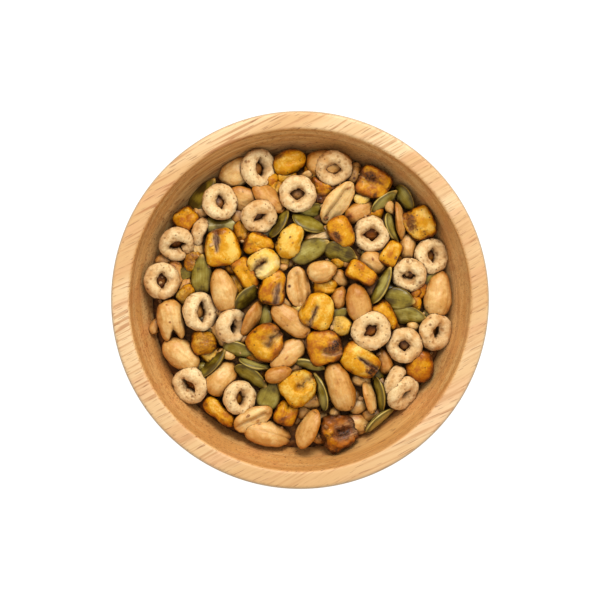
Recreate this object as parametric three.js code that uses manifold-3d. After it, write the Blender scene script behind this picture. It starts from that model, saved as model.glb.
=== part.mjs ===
// A turned wooden bowl of trail mix: oat rings, toasted corn kernels, whole peanuts, peanut halves and
// pumpkin seeds. Millimetres, +Z up. The origin is on the ground, at the middle of the bowl's foot.
//
// The bowl is one solid of revolution. The mix is the other solid: a core that fills the bowl, with
// every piece that shows fused on where it came to rest.

import * as THREE from 'three';
import { mergeVertices } from 'three/addons/utils/BufferGeometryUtils.js';
import Module from 'manifold-3d';

const wasm = await Module();
wasm.setup();

// ---------------------------------------------------------------- driving dimensions: the bowl

const RIM_RADIUS = 67.5;
const RIM_WIDTH = 6.65;
const BOWL_HEIGHT = 52;
const FOOT_RADIUS = 32;
const FLOOR_THICKNESS = 7;
const RIM_ROUND = 1.4;
const LOWER_PULL = { radius: 44, height: 4 };    // the two handles that bend the outer wall
const UPPER_PULL = { radius: 62.5, height: 20 };
const INNER_BEND = 1.9;                          // 2 would make the hollow an ellipse, 1 a cone
const BOWL_SIDES = 48;
const OUTER_STEPS = 8;
const WALL_STEPS = 6;
const ROUND_STEPS = 2;

// ---------------------------------------------------------------- driving dimensions: the mix

const GAP = 0.3;                  // between the mix and the wood
const HEAP_EDGE_DEPTH = 14.5;       // the heap's surface below the rim, at the wall
const HEAP_CENTRE_DEPTH = 7.6;    // and in the middle
const BED_DEPTH = 6;              // the core's top below the heap's surface
const LAYER_TOP = [-3.6, -3, -0.4, 1.6];   // how far a piece of each layer may stand above that surface
const SINK = 0.9;                 // how far a piece presses into what carries it
const FOOTPRINT = 0.86;           // the share of a piece's width that touches what is under it
const WIDEST_DEPTH = 2;           // how far below the heap's surface a piece is at its widest
const CELL = 1;                   // the spacing of the points where heights are kept
const SMALL_TILT = THREE.MathUtils.degToRad(9);
const SEED = 20;
const DOME_SIDES = 12;
const DOME_STEPS = 3;
const CORE_SPARE = 4;             // how far the core is made too wide before the hollow's shape cuts it
const SMALLEST_DETAIL = 0.05;     // what is finer than this where pieces meet is smoothed away

const RING_THICKNESS = 5.4;
const RING_SIDES = { around: 9, tube: 5 };
const CORN_THICKNESS = 7.6;
const CORN_SQUARENESS = 2.7;      // 2 is a ball and a large number is a box
const CORN_TAPER = 0.16;          // how much narrower than its middle a piece is at its tip
const CORN_DENT = 0.82;           // the height left where the germ sank in
const PEANUT_ROUNDNESS = 0.95;    // a whole peanut's thickness over its width
const PEANUT_TAPER = 0.12;
const HALF_WIDTH = 8.8;
const HALF_THICKNESS = 4.8;
const HALF_FACE = 0.35;           // how far the flat face bulges, over the bulge of the back
const SEED_WIDTH = 8.2;
const SEED_THICKNESS = 2.8;
const SEED_TAPER = 0.2;
const FILL_SPOTS = 300;           // the spots that are tried, most of which are covered
const FILL_RADIUS = 52;
const FILL_LENGTH = [7, 10];
const FILL_WIDTH = 0.7;           // over its length
const FILL_SQUARENESS = 2.3;

// ---------------------------------------------------------------- where the pieces lie
// Millimetres from the middle of the bowl, and degrees. turn is the long axis's heading, from +X
// towards +Y. layer is 3 for what lies on top and 1 for what shows only between other pieces.

// [x, y, across, hole, turn, roll, layer]
const OAT_RINGS = [
  [-28.8, 35.3, 13.2, 4.2, 100, 12, 3],
  [-14.8, 47.4, 14.4, 4.4, 97, 32, 3],
  [-44.4, 20.2, 13.0, 3.4, 15, 28, 3],
  [-35.5, 24.6, 11.5, 3.6, 65, 72, 2],
  [-14.7, 30.0, 12.8, 3.4, 30, 22, 3],
  [-0.9, 38.2, 13.5, 4.6, 0, 3, 3],
  [12.2, 47.4, 13.2, 4.4, 0, 20, 3],
  [25.7, 23.6, 13.2, 4.4, 0, 5, 3],
  [47.3, 15.9, 13.2, 4.0, 95, 24, 2],
  [39.2, 8.9, 12.8, 3.6, 0, 18, 3],
  [49.0, -11.6, 13.6, 4.2, 75, 30, 3],
  [25.5, -10.9, 14.3, 4.5, 40, 3, 3],
  [37.6, -16.3, 13.1, 4.0, 0, 10, 3],
  [-49.9, 7.0, 13.4, 4.2, 90, 10, 3],
  [-35.8, -4.2, 14.1, 5.0, 90, 30, 3],
  [-24.5, -9.4, 13.1, 3.8, 88, 40, 3],
  [-21.8, -35.2, 12.6, 3.8, 90, 24, 3],
  [-40.4, -31.4, 13.6, 4.4, -50, 28, 3],
  [34.2, -29.5, 12.3, 4.0, 65, 78, 3],
  [39.7, -35.9, 13.5, 4.2, 52, 56, 3],
];

// [x, y, length, width, turn, layer]
const CORN = [
  [-40.9, 29.2, 9.0, 8.5, 45, 2],
  [-28.0, 19.0, 13.7, 12.7, 100, 3],
  [-20.7, 24.5, 9.0, 8.0, 90, 1],
  [-14.8, 19.6, 11.0, 8.5, -20, 2],
  [-2.7, 50.2, 10.8, 8.5, 20, 2],
  [-8.8, 39.8, 8.0, 6.0, 70, 1],
  [7.5, 39.6, 11.0, 10.0, 0, 1],
  [27.2, 42.0, 13.0, 12.5, -40, 3],
  [-3.6, 21.3, 13.0, 8.5, 65, 3],
  [14.8, 24.4, 12.0, 8.5, -60, 3],
  [43.2, 27.5, 12.0, 11.3, -60, 3],
  [33.1, 16.6, 9.0, 8.5, 50, 2],
  [22.1, 9.6, 11.5, 6.5, -30, 3],
  [29.9, -6.1, 12.0, 9.0, -55, 2],
  [-37.9, 14.1, 8.0, 8.0, 0, 1],
  [-22.6, 5.4, 9.0, 6.0, -60, 1],
  [-19.6, 9.5, 12.5, 7.0, -60, 2],
  [-34.6, -15.2, 9.4, 9.0, 0, 2],
  [-12.8, 13.0, 11.5, 11.0, 45, 3],
  [-9.8, 4.6, 13.0, 9.2, 80, 3],
  [9.1, 4.8, 9.0, 8.0, 0, 1],
  [6.4, -4.0, 13.0, 11.5, 67, 3],
  [-12.2, -15.0, 13.5, 13.0, 45, 3],
  [14.6, -9.4, 8.0, 7.5, 0, 1],
  [8.8, -17.0, 12.5, 12.5, 10, 3],
  [21.7, -21.7, 15.0, 11.0, -35, 3],
  [-0.6, -31.4, 13.0, 12.5, 35, 3],
  [-5.1, -40.6, 9.5, 8.0, 70, 2],
  [14.0, -47.7, 12.7, 12.7, 20, 3],
  [-29.0, -40.4, 14.0, 7.0, -42, 3],
  [43.3, -23.9, 12.0, 10.0, 70, 2],
];

// [x, y, length, width, turn, layer]
const WHOLE_PEANUTS = [
  [-22.5, 46.0, 14.0, 11.0, 40, 2],
  [10.2, 49.7, 16.0, 9.0, 3, 2],
  [38.9, 19.0, 11.0, 7.0, 90, 1],
  [49.7, 1.8, 17.0, 10.2, 82, 2],
  [21.0, -1.2, 14.0, 9.0, 102, 3],
  [-27.5, 3.5, 15.5, 9.3, 105, 3],
  [-46.4, -7.5, 15.5, 10.0, -80, 3],
  [-42.8, -19.8, 15.5, 10.0, -40, 2],
  [7.9, 10.3, 10.8, 7.8, 10, 3],
  [14.2, -31.0, 19.0, 9.5, 108, 3],
  [-11.9, -48.2, 17.5, 9.5, -15, 2],
  [-28.4, -28.3, 14.0, 10.0, 52, 2],
  [-8.9, -27.3, 8.5, 4.8, 20, 2],
  [30.5, -22.3, 9.5, 6.0, 105, 1],
  [21.7, 31.9, 12.0, 8.0, 30, 1],
  [20.9, -44.7, 9.0, 8.0, 0, 1],
  [7.7, -45.8, 12.0, 8.0, 75, 1],
  [14.0, 0.7, 8.0, 5.0, 70, 2],
  [-28.1, -12.4, 12.0, 7.0, -60, 1],
];

// [x, y, length, width that shows, turn, layer, side up: 1 for the flat face, -1 for the round back]
const PEANUT_HALVES = [
  [13.6, 35.2, 18.0, 8.5, 55, 3, 1],
  [-19.5, 36.0, 13.0, 8.0, -20, 2, -1],
  [-11.1, 36.6, 13.0, 6.5, -40, 2, -1],
  [7.5, 22.4, 13.0, 8.8, 20, 1, -1],
  [35.6, 28.6, 14.5, 4.8, -82, 2, -1],
  [26.0, 13.3, 10.0, 8.8, -25, 2, -1],
  [-0.7, 4.8, 15.0, 8.7, 96, 3, 1],
  [-3.2, -7.5, 17.5, 8.8, -38, 3, -1],
  [-17.4, -6.4, 14.0, 6.0, 62, 2, 1],
  [-4.3, -19.3, 16.0, 8.8, 38, 3, -1],
  [-17.8, -43.2, 16.0, 6.5, 28, 3, 1],
  [3.1, -46.3, 15.5, 7.5, 65, 3, -1],
  [24.7, -34.8, 13.0, 5.5, -78, 2, -1],
  [-45.8, 7.6, 14.0, 8.8, 80, 1, -1],
];

// [x, y, length, width that shows, turn, layer]
const PUMPKIN_SEEDS = [
  [-35.5, 37.9, 14.0, 3.5, 50, 2],
  [-27.8, 27.3, 13.0, 8.0, 5, 1],
  [-7.8, 27.5, 12.0, 4.5, 55, 2],
  [3.1, 27.7, 13.0, 5.5, -25, 2],
  [4.2, 31.8, 10.0, 6.0, 15, 1],
  [3.6, 17.9, 14.5, 8.2, 25, 3],
  [14.6, 16.9, 12.0, 7.5, -20, 2],
  [30.3, 35.1, 12.0, 4.8, 45, 2],
  [37.6, 36.6, 11.0, 5.5, -55, 2],
  [33.2, 26.2, 11.0, 4.0, -70, 2],
  [29.2, 5.1, 14.5, 4.5, 62, 3],
  [35.7, 0.3, 10.9, 8.0, -10, 2],
  [38.9, -5.8, 13.5, 7.0, -10, 2],
  [-35.3, 8.9, 14.5, 8.0, 88, 2],
  [-18.2, 1.6, 13.5, 5.5, 38, 2],
  [-12.8, -6.1, 9.0, 5.5, 75, 1],
  [3.4, -23.6, 11.0, 4.0, -12, 1],
  [7.5, -33.2, 14.0, 4.0, 105, 2],
  [-11.0, -34.6, 9.5, 8.2, 40, 2],
  [-15.8, -23.1, 13.0, 3.5, -12, 2],
  [-22.3, -18.1, 11.0, 5.5, -15, 2],
  [-17.7, -27.5, 13.5, 5.5, -33, 2],
  [-31.9, -22.5, 12.5, 4.2, 45, 1],
  [28.6, -34.0, 13.5, 3.8, -80, 2],
  [28.6, -43.2, 13.5, 3.3, 40, 2],
];

// ---------------------------------------------------------------- materials

const beech = new THREE.MeshStandardMaterial({ color: 0xdcb07a, roughness: 0.55, metalness: 0 });
const toasted = new THREE.MeshStandardMaterial({ color: 0xc9a05a, roughness: 0.7, metalness: 0 });

// ---------------------------------------------------------------- the bowl

const RIM_INNER = RIM_RADIUS - RIM_WIDTH;
const HOLLOW_DEPTH = BOWL_HEIGHT - FLOOR_THICKNESS;

/** The hollow's radius at a height: a quarter of a superellipse that is upright at the rim. */
function hollowRadius(z) {
  const down = (BOWL_HEIGHT - z) / HOLLOW_DEPTH;
  return RIM_INNER * Math.sqrt(Math.max(0, 1 - down ** INNER_BEND));
}

/** Points down the hollow's wall from a height to the axis, set in from the wood by a gap. */
function hollowWall(topHeight, gap) {
  const topAngle = Math.asin(((BOWL_HEIGHT - topHeight) / HOLLOW_DEPTH) ** (INNER_BEND / 2));
  const points = [];
  for (let i = 0; i <= WALL_STEPS; i++) {
    const angle = topAngle + (Math.PI / 2 - topAngle) * (i / WALL_STEPS);
    const radius = RIM_INNER * Math.cos(angle);
    const height = BOWL_HEIGHT - HOLLOW_DEPTH * Math.sin(angle) ** (2 / INNER_BEND);
    points.push(new THREE.Vector2(Math.max(0, radius - gap), height + gap * Math.sin(angle)));
  }
  return points;
}

/** A quarter-round edge of the rim, from one heading to another about its centre. */
function roundEdge(centreRadius, fromAngle, toAngle) {
  const edge = new THREE.Path();
  edge.absarc(centreRadius, BOWL_HEIGHT - RIM_ROUND, RIM_ROUND, fromAngle, toAngle, toAngle < fromAngle);
  return edge.getPoints(ROUND_STEPS * 2).filter((point, i) => i % 2 === 0);
}

function bowlGeometry() {
  const outside = new THREE.CubicBezierCurve(
    new THREE.Vector2(FOOT_RADIUS, 0),
    new THREE.Vector2(LOWER_PULL.radius, LOWER_PULL.height),
    new THREE.Vector2(UPPER_PULL.radius, UPPER_PULL.height),
    new THREE.Vector2(RIM_RADIUS, BOWL_HEIGHT - RIM_ROUND),
  );
  const profile = [
    new THREE.Vector2(0, 0),
    ...outside.getPoints(OUTER_STEPS),
    ...roundEdge(RIM_RADIUS - RIM_ROUND, 0, Math.PI / 2).slice(1),
    ...roundEdge(RIM_INNER + RIM_ROUND, Math.PI / 2, Math.PI).slice(0, -1),
    ...hollowWall(BOWL_HEIGHT - RIM_ROUND, 0),
  ];
  return turned(profile, BOWL_SIDES);
}

/** A solid of revolution about Z from a profile of (radius, height) points. */
function turned(profile, sides) {
  return new THREE.LatheGeometry(profile, sides).rotateX(Math.PI / 2);
}

// ---------------------------------------------------------------- solids

/** A three.js geometry as a manifold-3d solid. */
function toSolid(geometry) {
  const bare = geometry.clone();
  bare.deleteAttribute('normal');
  bare.deleteAttribute('uv');
  const merged = mergeVertices(bare, 1e-4);
  return new wasm.Manifold(new wasm.Mesh({
    numProp: 3,
    vertProperties: new Float32Array(merged.attributes.position.array),
    triVerts: new Uint32Array(merged.index.array),
  }));
}

function toGeometry(solid) {
  const mesh = solid.getMesh();
  const geometry = new THREE.BufferGeometry();
  geometry.setAttribute('position', new THREE.BufferAttribute(mesh.vertProperties, 3));
  geometry.setIndex(new THREE.BufferAttribute(mesh.triVerts, 1));
  return geometry;
}

// ---------------------------------------------------------------- the shapes of the pieces
// Each is made at its real size with its length along X and its flat way along Z.

/** A ball of 32 faces, moved point by point: shape gets a point on the unit ball and changes it. */
function moulded(shape) {
  const geometry = new THREE.OctahedronGeometry(1, 1);
  const position = geometry.attributes.position;
  const point = new THREE.Vector3();
  for (let i = 0; i < position.count; i++) {
    point.fromBufferAttribute(position, i);
    shape(point);
    position.setXYZ(i, point.x, point.y, point.z);
  }
  return geometry;
}

/** Pushes a point on a ball out towards a box: a power of 2 leaves the ball as it is. */
function squarer(point, power) {
  const size = Math.abs(point.x) ** power + Math.abs(point.y) ** power + Math.abs(point.z) ** power;
  point.divideScalar(size ** (1 / power));
}

function ringShape(piece) {
  const tube = (piece.length - piece.hole) / 2;
  const ring = new THREE.TorusGeometry(
    (piece.length - tube) / 2, tube / 2, RING_SIDES.tube, RING_SIDES.around,
  );
  return ring.scale(1, 1, RING_THICKNESS / tube);
}

/** A kernel is blocky, wide at the crown and narrow at the tip, with a dent for the germ in one face. */
function cornShape(piece) {
  return moulded((point) => {
    const isGerm = point.y === 0 && point.z > 0;
    squarer(point, CORN_SQUARENESS);
    const narrowing = 1 - CORN_TAPER * point.x;
    point.x *= piece.length / 2;
    point.y *= narrowing * piece.width / 2;
    point.z *= (isGerm ? CORN_DENT : 1) * piece.thickness / 2;
  });
}

function peanutShape(piece) {
  return moulded((point) => {
    const narrowing = 1 - PEANUT_TAPER * point.x;
    point.x *= piece.length / 2;
    point.y *= narrowing * piece.width / 2;
    point.z *= narrowing * piece.thickness / 2;
  });
}

/** Half a peanut: round on its back and nearly flat on its face. */
function halfShape(piece) {
  return moulded((point) => {
    const isFace = point.z * piece.face > 0;
    point.x *= piece.length / 2;
    point.y *= piece.width / 2;
    point.z *= (isFace ? HALF_FACE : 1) * piece.thickness / 2;
  });
}

/** A flat pointed oval with a soft edge. */
function seedShape(piece) {
  return moulded((point) => {
    const narrowing = 1 - SEED_TAPER * point.x;
    point.x *= piece.length / 2;
    point.y *= narrowing * piece.width / 2;
    point.z *= piece.thickness / 2;
  });
}

function fillShape(piece) {
  return moulded((point) => {
    squarer(point, FILL_SQUARENESS);
    point.x *= piece.length / 2;
    point.y *= piece.width / 2;
    point.z *= piece.thickness / 2;
  });
}

// ---------------------------------------------------------------- how the pieces come to rest

/** Numbers drawn from a fixed seed, each between low and high. */
let drawState = SEED;
function draw(low, high) {
  drawState = (drawState * 1664525 + 1013904223) % 4294967296;
  return low + ((high - low) * drawState) / 4294967296;
}

const radians = THREE.MathUtils.degToRad;

/** How far a flat piece is rolled about its length to show a given width. */
function rollToShow(shown, width, thickness) {
  const share = (shown ** 2 - thickness ** 2) / (width ** 2 - thickness ** 2);
  return Math.acos(Math.sqrt(Math.min(1, Math.max(0.02, share))));
}

/** The height of the heap's surface over a point: a low dome. */
function heapSurface(x, y) {
  const outward = (x * x + y * y) / (RIM_INNER * RIM_INNER);
  return BOWL_HEIGHT - HEAP_CENTRE_DEPTH - (HEAP_EDGE_DEPTH - HEAP_CENTRE_DEPTH) * outward;
}

const FIELD_REACH = Math.ceil(RIM_INNER / CELL);
const FIELD_SIDE = 2 * FIELD_REACH + 1;
const heights = new Float64Array(FIELD_SIDE * FIELD_SIDE);

function clearField() {
  for (let row = 0; row < FIELD_SIDE; row++) {
    for (let column = 0; column < FIELD_SIDE; column++) {
      const x = (column - FIELD_REACH) * CELL;
      const y = (row - FIELD_REACH) * CELL;
      heights[row * FIELD_SIDE + column] = heapSurface(x, y) - BED_DEPTH;
    }
  }
}

/** The smooth ovoid that stands in for a piece while it settles: its turn, and the matrix of its surface. */
function standIn(piece) {
  const turn = new THREE.Matrix4().makeRotationFromEuler(
    new THREE.Euler(piece.roll, piece.pitch, radians(piece.turn), 'ZYX'),
  );
  const e = turn.elements;
  const inverseSquares = [piece.length, piece.width, piece.thickness].map((size) => 4 / size ** 2);
  const entry = (i, j) => inverseSquares.reduce((sum, s, k) => sum + s * e[4 * k + i] * e[4 * k + j], 0);
  return {
    turn,
    xx: entry(0, 0), xy: entry(0, 1), yy: entry(1, 1), xz: entry(0, 2), yz: entry(1, 2), zz: entry(2, 2),
  };
}

/** Calls visit(cell, under, over) for each height cell below the piece, with its two surfaces there. */
function overFootprint(piece, share, visit) {
  const form = piece.form;
  const reach = piece.length / 2;
  const first = (centre) => Math.ceil((centre - reach) / CELL) + FIELD_REACH;
  const last = (centre) => Math.floor((centre + reach) / CELL) + FIELD_REACH;
  for (let row = first(piece.y); row <= last(piece.y); row++) {
    for (let column = first(piece.x); column <= last(piece.x); column++) {
      const dx = ((column - FIELD_REACH) * CELL - piece.x) / share;
      const dy = ((row - FIELD_REACH) * CELL - piece.y) / share;
      const half = form.xz * dx + form.yz * dy;
      const rest = form.xx * dx * dx + 2 * form.xy * dx * dy + form.yy * dy * dy - 1;
      const inside = half * half - form.zz * rest;
      if (inside < 0) continue;
      const root = Math.sqrt(inside);
      visit(row * FIELD_SIDE + column, (-half - root) / form.zz, (-half + root) / form.zz);
    }
  }
}

/** Moves a piece in from the wall until it fits, then lowers it on to what is there already. */
function settle(piece) {
  piece.form = standIn(piece);
  const limit = hollowRadius(heapSurface(piece.x, piece.y) - WIDEST_DEPTH) - GAP;
  const outward = Math.hypot(piece.x, piece.y);
  const heading = Math.atan2(piece.y, piece.x) - radians(piece.turn);
  const reach = Math.hypot(Math.cos(heading) * piece.length, Math.sin(heading) * piece.shown) / 2;
  if (outward + reach > limit) {
    piece.x *= (limit - reach) / outward;
    piece.y *= (limit - reach) / outward;
  }
  let resting = -Infinity;
  overFootprint(piece, FOOTPRINT, (cell, under) => {
    resting = Math.max(resting, heights[cell] - under);
  });
  let top = -Infinity;
  overFootprint(piece, 1, (cell, under, over) => {
    top = Math.max(top, over);
  });
  const highest = heapSurface(piece.x, piece.y) + LAYER_TOP[piece.layer] - top;
  piece.z = Math.min(resting - SINK, highest);
  overFootprint(piece, 1, (cell, under, over) => {
    heights[cell] = Math.max(heights[cell], piece.z + over);
  });
  return piece;
}

/** A piece lying nearly level, on a small tilt of its own. */
function lying(piece) {
  return { pitch: draw(-SMALL_TILT, SMALL_TILT), roll: draw(-SMALL_TILT, SMALL_TILT), ...piece };
}

/** A flat piece rolled towards its edge, to one side or the other, until the given width shows. */
function rolled(piece) {
  const side = draw(-1, 1) < 0 ? -1 : 1;
  const pitch = draw(-SMALL_TILT, SMALL_TILT);
  return { pitch, roll: side * rollToShow(piece.shown, piece.width, piece.thickness), ...piece };
}

function placedPieces() {
  const rings = OAT_RINGS.map(([x, y, length, hole, turn, roll, layer]) => ({
    make: ringShape, x, y, length, width: length, shown: length, thickness: RING_THICKNESS,
    hole, turn, roll: radians(roll), pitch: 0, layer,
  }));
  const corn = CORN.map(([x, y, length, width, turn, layer]) => lying({
    make: cornShape, x, y, length, width, shown: width, thickness: Math.min(CORN_THICKNESS, width),
    turn, layer,
  }));
  const peanuts = WHOLE_PEANUTS.map(([x, y, length, width, turn, layer]) => lying({
    make: peanutShape, x, y, length, width, shown: width, thickness: PEANUT_ROUNDNESS * width,
    turn, layer,
  }));
  const halves = PEANUT_HALVES.map(([x, y, length, shown, turn, layer, face]) => rolled({
    make: halfShape, x, y, length, width: HALF_WIDTH, shown, thickness: HALF_THICKNESS,
    turn, layer, face,
  }));
  const seeds = PUMPKIN_SEEDS.map(([x, y, length, shown, turn, layer]) => rolled({
    make: seedShape, x, y, length, width: SEED_WIDTH, shown, thickness: SEED_THICKNESS, turn, layer,
  }));
  return [...rings, ...corn, ...peanuts, ...halves, ...seeds];
}

/** Whether a piece lies over a point. */
function covers(piece, x, y) {
  const heading = radians(piece.turn);
  const along = ((x - piece.x) * Math.cos(heading) + (y - piece.y) * Math.sin(heading)) / piece.length;
  const across = ((y - piece.y) * Math.cos(heading) - (x - piece.x) * Math.sin(heading)) / piece.shown;
  return Math.hypot(along, across) < 0.5;
}

/** Pieces for the bare spots between the placed ones, on a spiral that spreads them evenly. */
function fillPieces(placed) {
  const pieces = [];
  for (let i = 0; i < FILL_SPOTS; i++) {
    const outward = FILL_RADIUS * Math.sqrt((i + 0.5) / FILL_SPOTS);
    const heading = i * Math.PI * (3 - Math.sqrt(5));
    const x = outward * Math.cos(heading);
    const y = outward * Math.sin(heading);
    const length = draw(FILL_LENGTH[0], FILL_LENGTH[1]);
    const turn = draw(0, 360);
    const width = FILL_WIDTH * length;
    const piece = lying({
      make: fillShape, x, y, length, width, shown: width, thickness: width, turn, layer: 0,
    });
    if (!placed.some((other) => covers(other, x, y))) pieces.push(piece);
  }
  return pieces;
}

/** Every piece of the mix where it rests, settled from the bottom layer up, the largest first. */
function settledMix() {
  const placed = placedPieces();
  const pieces = [...fillPieces(placed), ...placed];
  pieces.sort((a, b) => a.layer - b.layer || b.length - a.length);
  clearField();
  return pieces.map(settle);
}

// ---------------------------------------------------------------- the heap

/** The core before it is fitted to the bowl: a wide plug with a low dome for its top. */
function coreProfile() {
  const edge = RIM_INNER + CORE_SPARE;
  const profile = [new THREE.Vector2(0, 0), new THREE.Vector2(edge, 0)];
  for (let i = DOME_STEPS; i >= 0; i--) {
    const radius = edge * (i / DOME_STEPS);
    profile.push(new THREE.Vector2(radius, heapSurface(radius, 0) - BED_DEPTH));
  }
  return profile;
}

/** The space inside the bowl up to its rim, clear of the wood. */
function roomProfile() {
  return [...hollowWall(BOWL_HEIGHT, GAP).reverse(), new THREE.Vector2(0, BOWL_HEIGHT)];
}

function heapGeometry() {
  const solids = settledMix().map((piece) => {
    const place = piece.form.turn.clone().setPosition(piece.x, piece.y, piece.z);
    return toSolid(piece.make(piece).applyMatrix4(place));
  });
  const core = toSolid(turned(coreProfile(), DOME_SIDES));
  const room = toSolid(turned(roomProfile(), BOWL_SIDES));
  const joined = solids.reduce((sum, solid) => sum.add(solid), core).intersect(room);
  // The largest body of the result alone: that fills sealed hollows and drops loose scraps.
  const bodies = joined.simplify(SMALLEST_DETAIL).decompose().sort((a, b) => b.volume() - a.volume());
  return toGeometry(bodies[0]);
}

// ---------------------------------------------------------------- the part

const bowl = new THREE.Mesh(bowlGeometry(), beech);
bowl.name = 'bowl';

const mix = new THREE.Mesh(heapGeometry(), toasted);
mix.name = 'trail_mix';

const part = new THREE.Group();
part.add(bowl, mix);

export default part;
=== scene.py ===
# %% [markdown]
# # A wooden bowl of trail mix
#
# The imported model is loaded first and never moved. It gives the bowl's place and size, and one solid
# for the whole heap. This script turns a smooth bowl in its place, and replaces the heap with real
# pieces: oat rings, toasted corn, peanuts, peanut halves and pumpkin seeds. Lengths below are in
# millimetres until the last moment, when a mesh is scaled to Blender's metres.

import math
from types import SimpleNamespace

import bmesh
import bpy
from mathutils import Matrix, Vector, noise
from mathutils.bvhtree import BVHTree


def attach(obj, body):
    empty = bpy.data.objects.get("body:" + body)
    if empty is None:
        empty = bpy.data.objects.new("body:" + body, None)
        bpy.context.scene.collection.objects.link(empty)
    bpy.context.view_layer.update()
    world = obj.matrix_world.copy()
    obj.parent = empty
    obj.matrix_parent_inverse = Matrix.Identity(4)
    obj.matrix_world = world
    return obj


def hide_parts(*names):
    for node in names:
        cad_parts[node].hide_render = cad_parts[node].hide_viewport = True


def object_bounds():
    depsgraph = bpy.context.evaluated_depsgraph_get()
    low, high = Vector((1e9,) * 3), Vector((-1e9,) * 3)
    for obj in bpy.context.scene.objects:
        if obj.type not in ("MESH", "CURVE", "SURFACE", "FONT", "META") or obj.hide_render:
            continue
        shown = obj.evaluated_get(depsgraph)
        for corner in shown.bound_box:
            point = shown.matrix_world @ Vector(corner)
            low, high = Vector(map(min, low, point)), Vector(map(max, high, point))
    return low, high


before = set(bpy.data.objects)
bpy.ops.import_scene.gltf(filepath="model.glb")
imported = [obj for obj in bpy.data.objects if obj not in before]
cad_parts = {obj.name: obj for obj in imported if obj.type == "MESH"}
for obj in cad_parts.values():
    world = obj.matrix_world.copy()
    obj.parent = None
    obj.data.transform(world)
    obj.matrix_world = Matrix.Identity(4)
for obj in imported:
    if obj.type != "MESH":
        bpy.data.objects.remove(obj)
CAD_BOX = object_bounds()
MM = 0.001
print("nodes:", sorted(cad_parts))


# %% [markdown]
# ## The view and the light
#
# The bowl is seen from straight above through a long lens, so that its rim is a true circle and its
# walls lean in only a little. A large soft light stands beyond the far rim, which leaves the far
# inner wall in shade and lights the near one. A pale sky fills the shadows, and the floor is white.

# %% Camera
VIEW_HEIGHT = 1500.0
VIEW_WIDTH = 214.1          # how much of the rim's plane the picture spans
SENSOR = 36.0
rim_height = (CAD_BOX[1][2] - CAD_BOX[0][2]) / MM

camera_data = bpy.data.cameras.new("camera")
camera_data.sensor_width = SENSOR
camera_data.lens = SENSOR * (VIEW_HEIGHT - rim_height) / VIEW_WIDTH
camera = bpy.data.objects.new("camera", camera_data)
camera.location = (0, 0, VIEW_HEIGHT * MM)
bpy.context.scene.collection.objects.link(camera)
bpy.context.scene.camera = camera
print("lens:", round(camera_data.lens, 1), "mm")


# %% The window and the sky
WINDOW_PLACE = (0.13, 0.81, 1.0)
WINDOW_AIM = (0, 0, 0.03)
WINDOW_SIZE = 0.5
WINDOW_POWER = 12.0
WINDOW_COLOUR = (1.0, 0.99, 0.97)
SKY_COLOUR = (1.0, 0.99, 0.975, 1)
SKY_STRENGTH = 0.935
GAMMA = 0.86                # below 1, it deepens the middle tones

window_data = bpy.data.lights.new("window", "AREA")
window_data.size = WINDOW_SIZE
window_data.energy = WINDOW_POWER
window_data.color = WINDOW_COLOUR
window = bpy.data.objects.new("window", window_data)
window.location = WINDOW_PLACE
aim = Vector(WINDOW_AIM) - Vector(WINDOW_PLACE)
window.rotation_euler = aim.to_track_quat("-Z", "Y").to_euler()
bpy.context.scene.collection.objects.link(window)

world = bpy.data.worlds.new("studio")
world.use_nodes = True
sky = world.node_tree.nodes["Background"]
sky.inputs["Color"].default_value = SKY_COLOUR
sky.inputs["Strength"].default_value = SKY_STRENGTH
bpy.context.scene.world = world
bpy.context.scene.view_settings.view_transform = "Standard"
bpy.context.scene.view_settings.gamma = GAMMA
print("the window is", round(aim.length, 2), "m from the heap")

# %% The floor
FLOOR_SIZE = 6.0
FLOOR_COLOUR = (0.15, 0.15, 0.15, 1)
FLOOR_ROUGHNESS = 0.9
FLOOR_GLOW = 0.93           # most of the floor's white is its own, so hardly a shadow shows on it

bm = bmesh.new()
bmesh.ops.create_grid(bm, x_segments=1, y_segments=1, size=FLOOR_SIZE / 2)
floor_mesh = bpy.data.meshes.new("floor")
bm.to_mesh(floor_mesh)
bm.free()
floor = bpy.data.objects.new("floor", floor_mesh)
bpy.context.scene.collection.objects.link(floor)
floor_paint = bpy.data.materials.new("floor_paint")
floor_paint.use_nodes = True
floor_shader = floor_paint.node_tree.nodes["Principled BSDF"]
floor_shader.inputs["Base Color"].default_value = FLOOR_COLOUR
floor_shader.inputs["Roughness"].default_value = FLOOR_ROUGHNESS
floor_shader.inputs["Emission Color"].default_value = (1, 1, 1, 1)
floor_shader.inputs["Emission Strength"].default_value = FLOOR_GLOW
floor_mesh.materials.append(floor_paint)
print("the floor is", FLOOR_SIZE, "m wide")


# %% [markdown]
# ## Helpers for shading
#
# Colours are written as screen colours, and shaders want light values, so one function turns the
# first into the second. The others add a node and set its sockets in one line. Five effects are
# shared by the foods, so each is a node group: a soft mottle, scattered flecks, a fine relief,
# streaks along a piece, and the shade in the heap's gaps.

# %% Colour and node helpers
WHITE = (1.0, 1.0, 1.0, 1.0)


def screen(red, green, blue):
    """A screen colour from 0 to 255 as the light values that a shader takes."""
    linear = [(c / 255 / 12.92) if c < 10.3 else ((c / 255 + 0.055) / 1.055) ** 2.4
              for c in (red, green, blue)]
    return (*linear, 1.0)


def add(tree, kind, values=None, **settings):
    """Adds a node to a tree, with its settings and with numbers, colours or links for its inputs."""
    node = tree.nodes.new(kind)
    for name, value in settings.items():
        setattr(node, name, value)
    for key, value in (values or {}).items():
        if isinstance(value, bpy.types.NodeSocket):
            tree.links.new(value, node.inputs[key])
        else:
            node.inputs[key].default_value = value
    return node


def maths(tree, operation, first, second=0.0, third=0.0, clamp=False):
    return add(tree, "ShaderNodeMath", {0: first, 1: second, 2: third}, operation=operation,
               use_clamp=clamp).outputs[0]


def times(tree, first, second):
    return maths(tree, "MULTIPLY", first, second)


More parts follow.
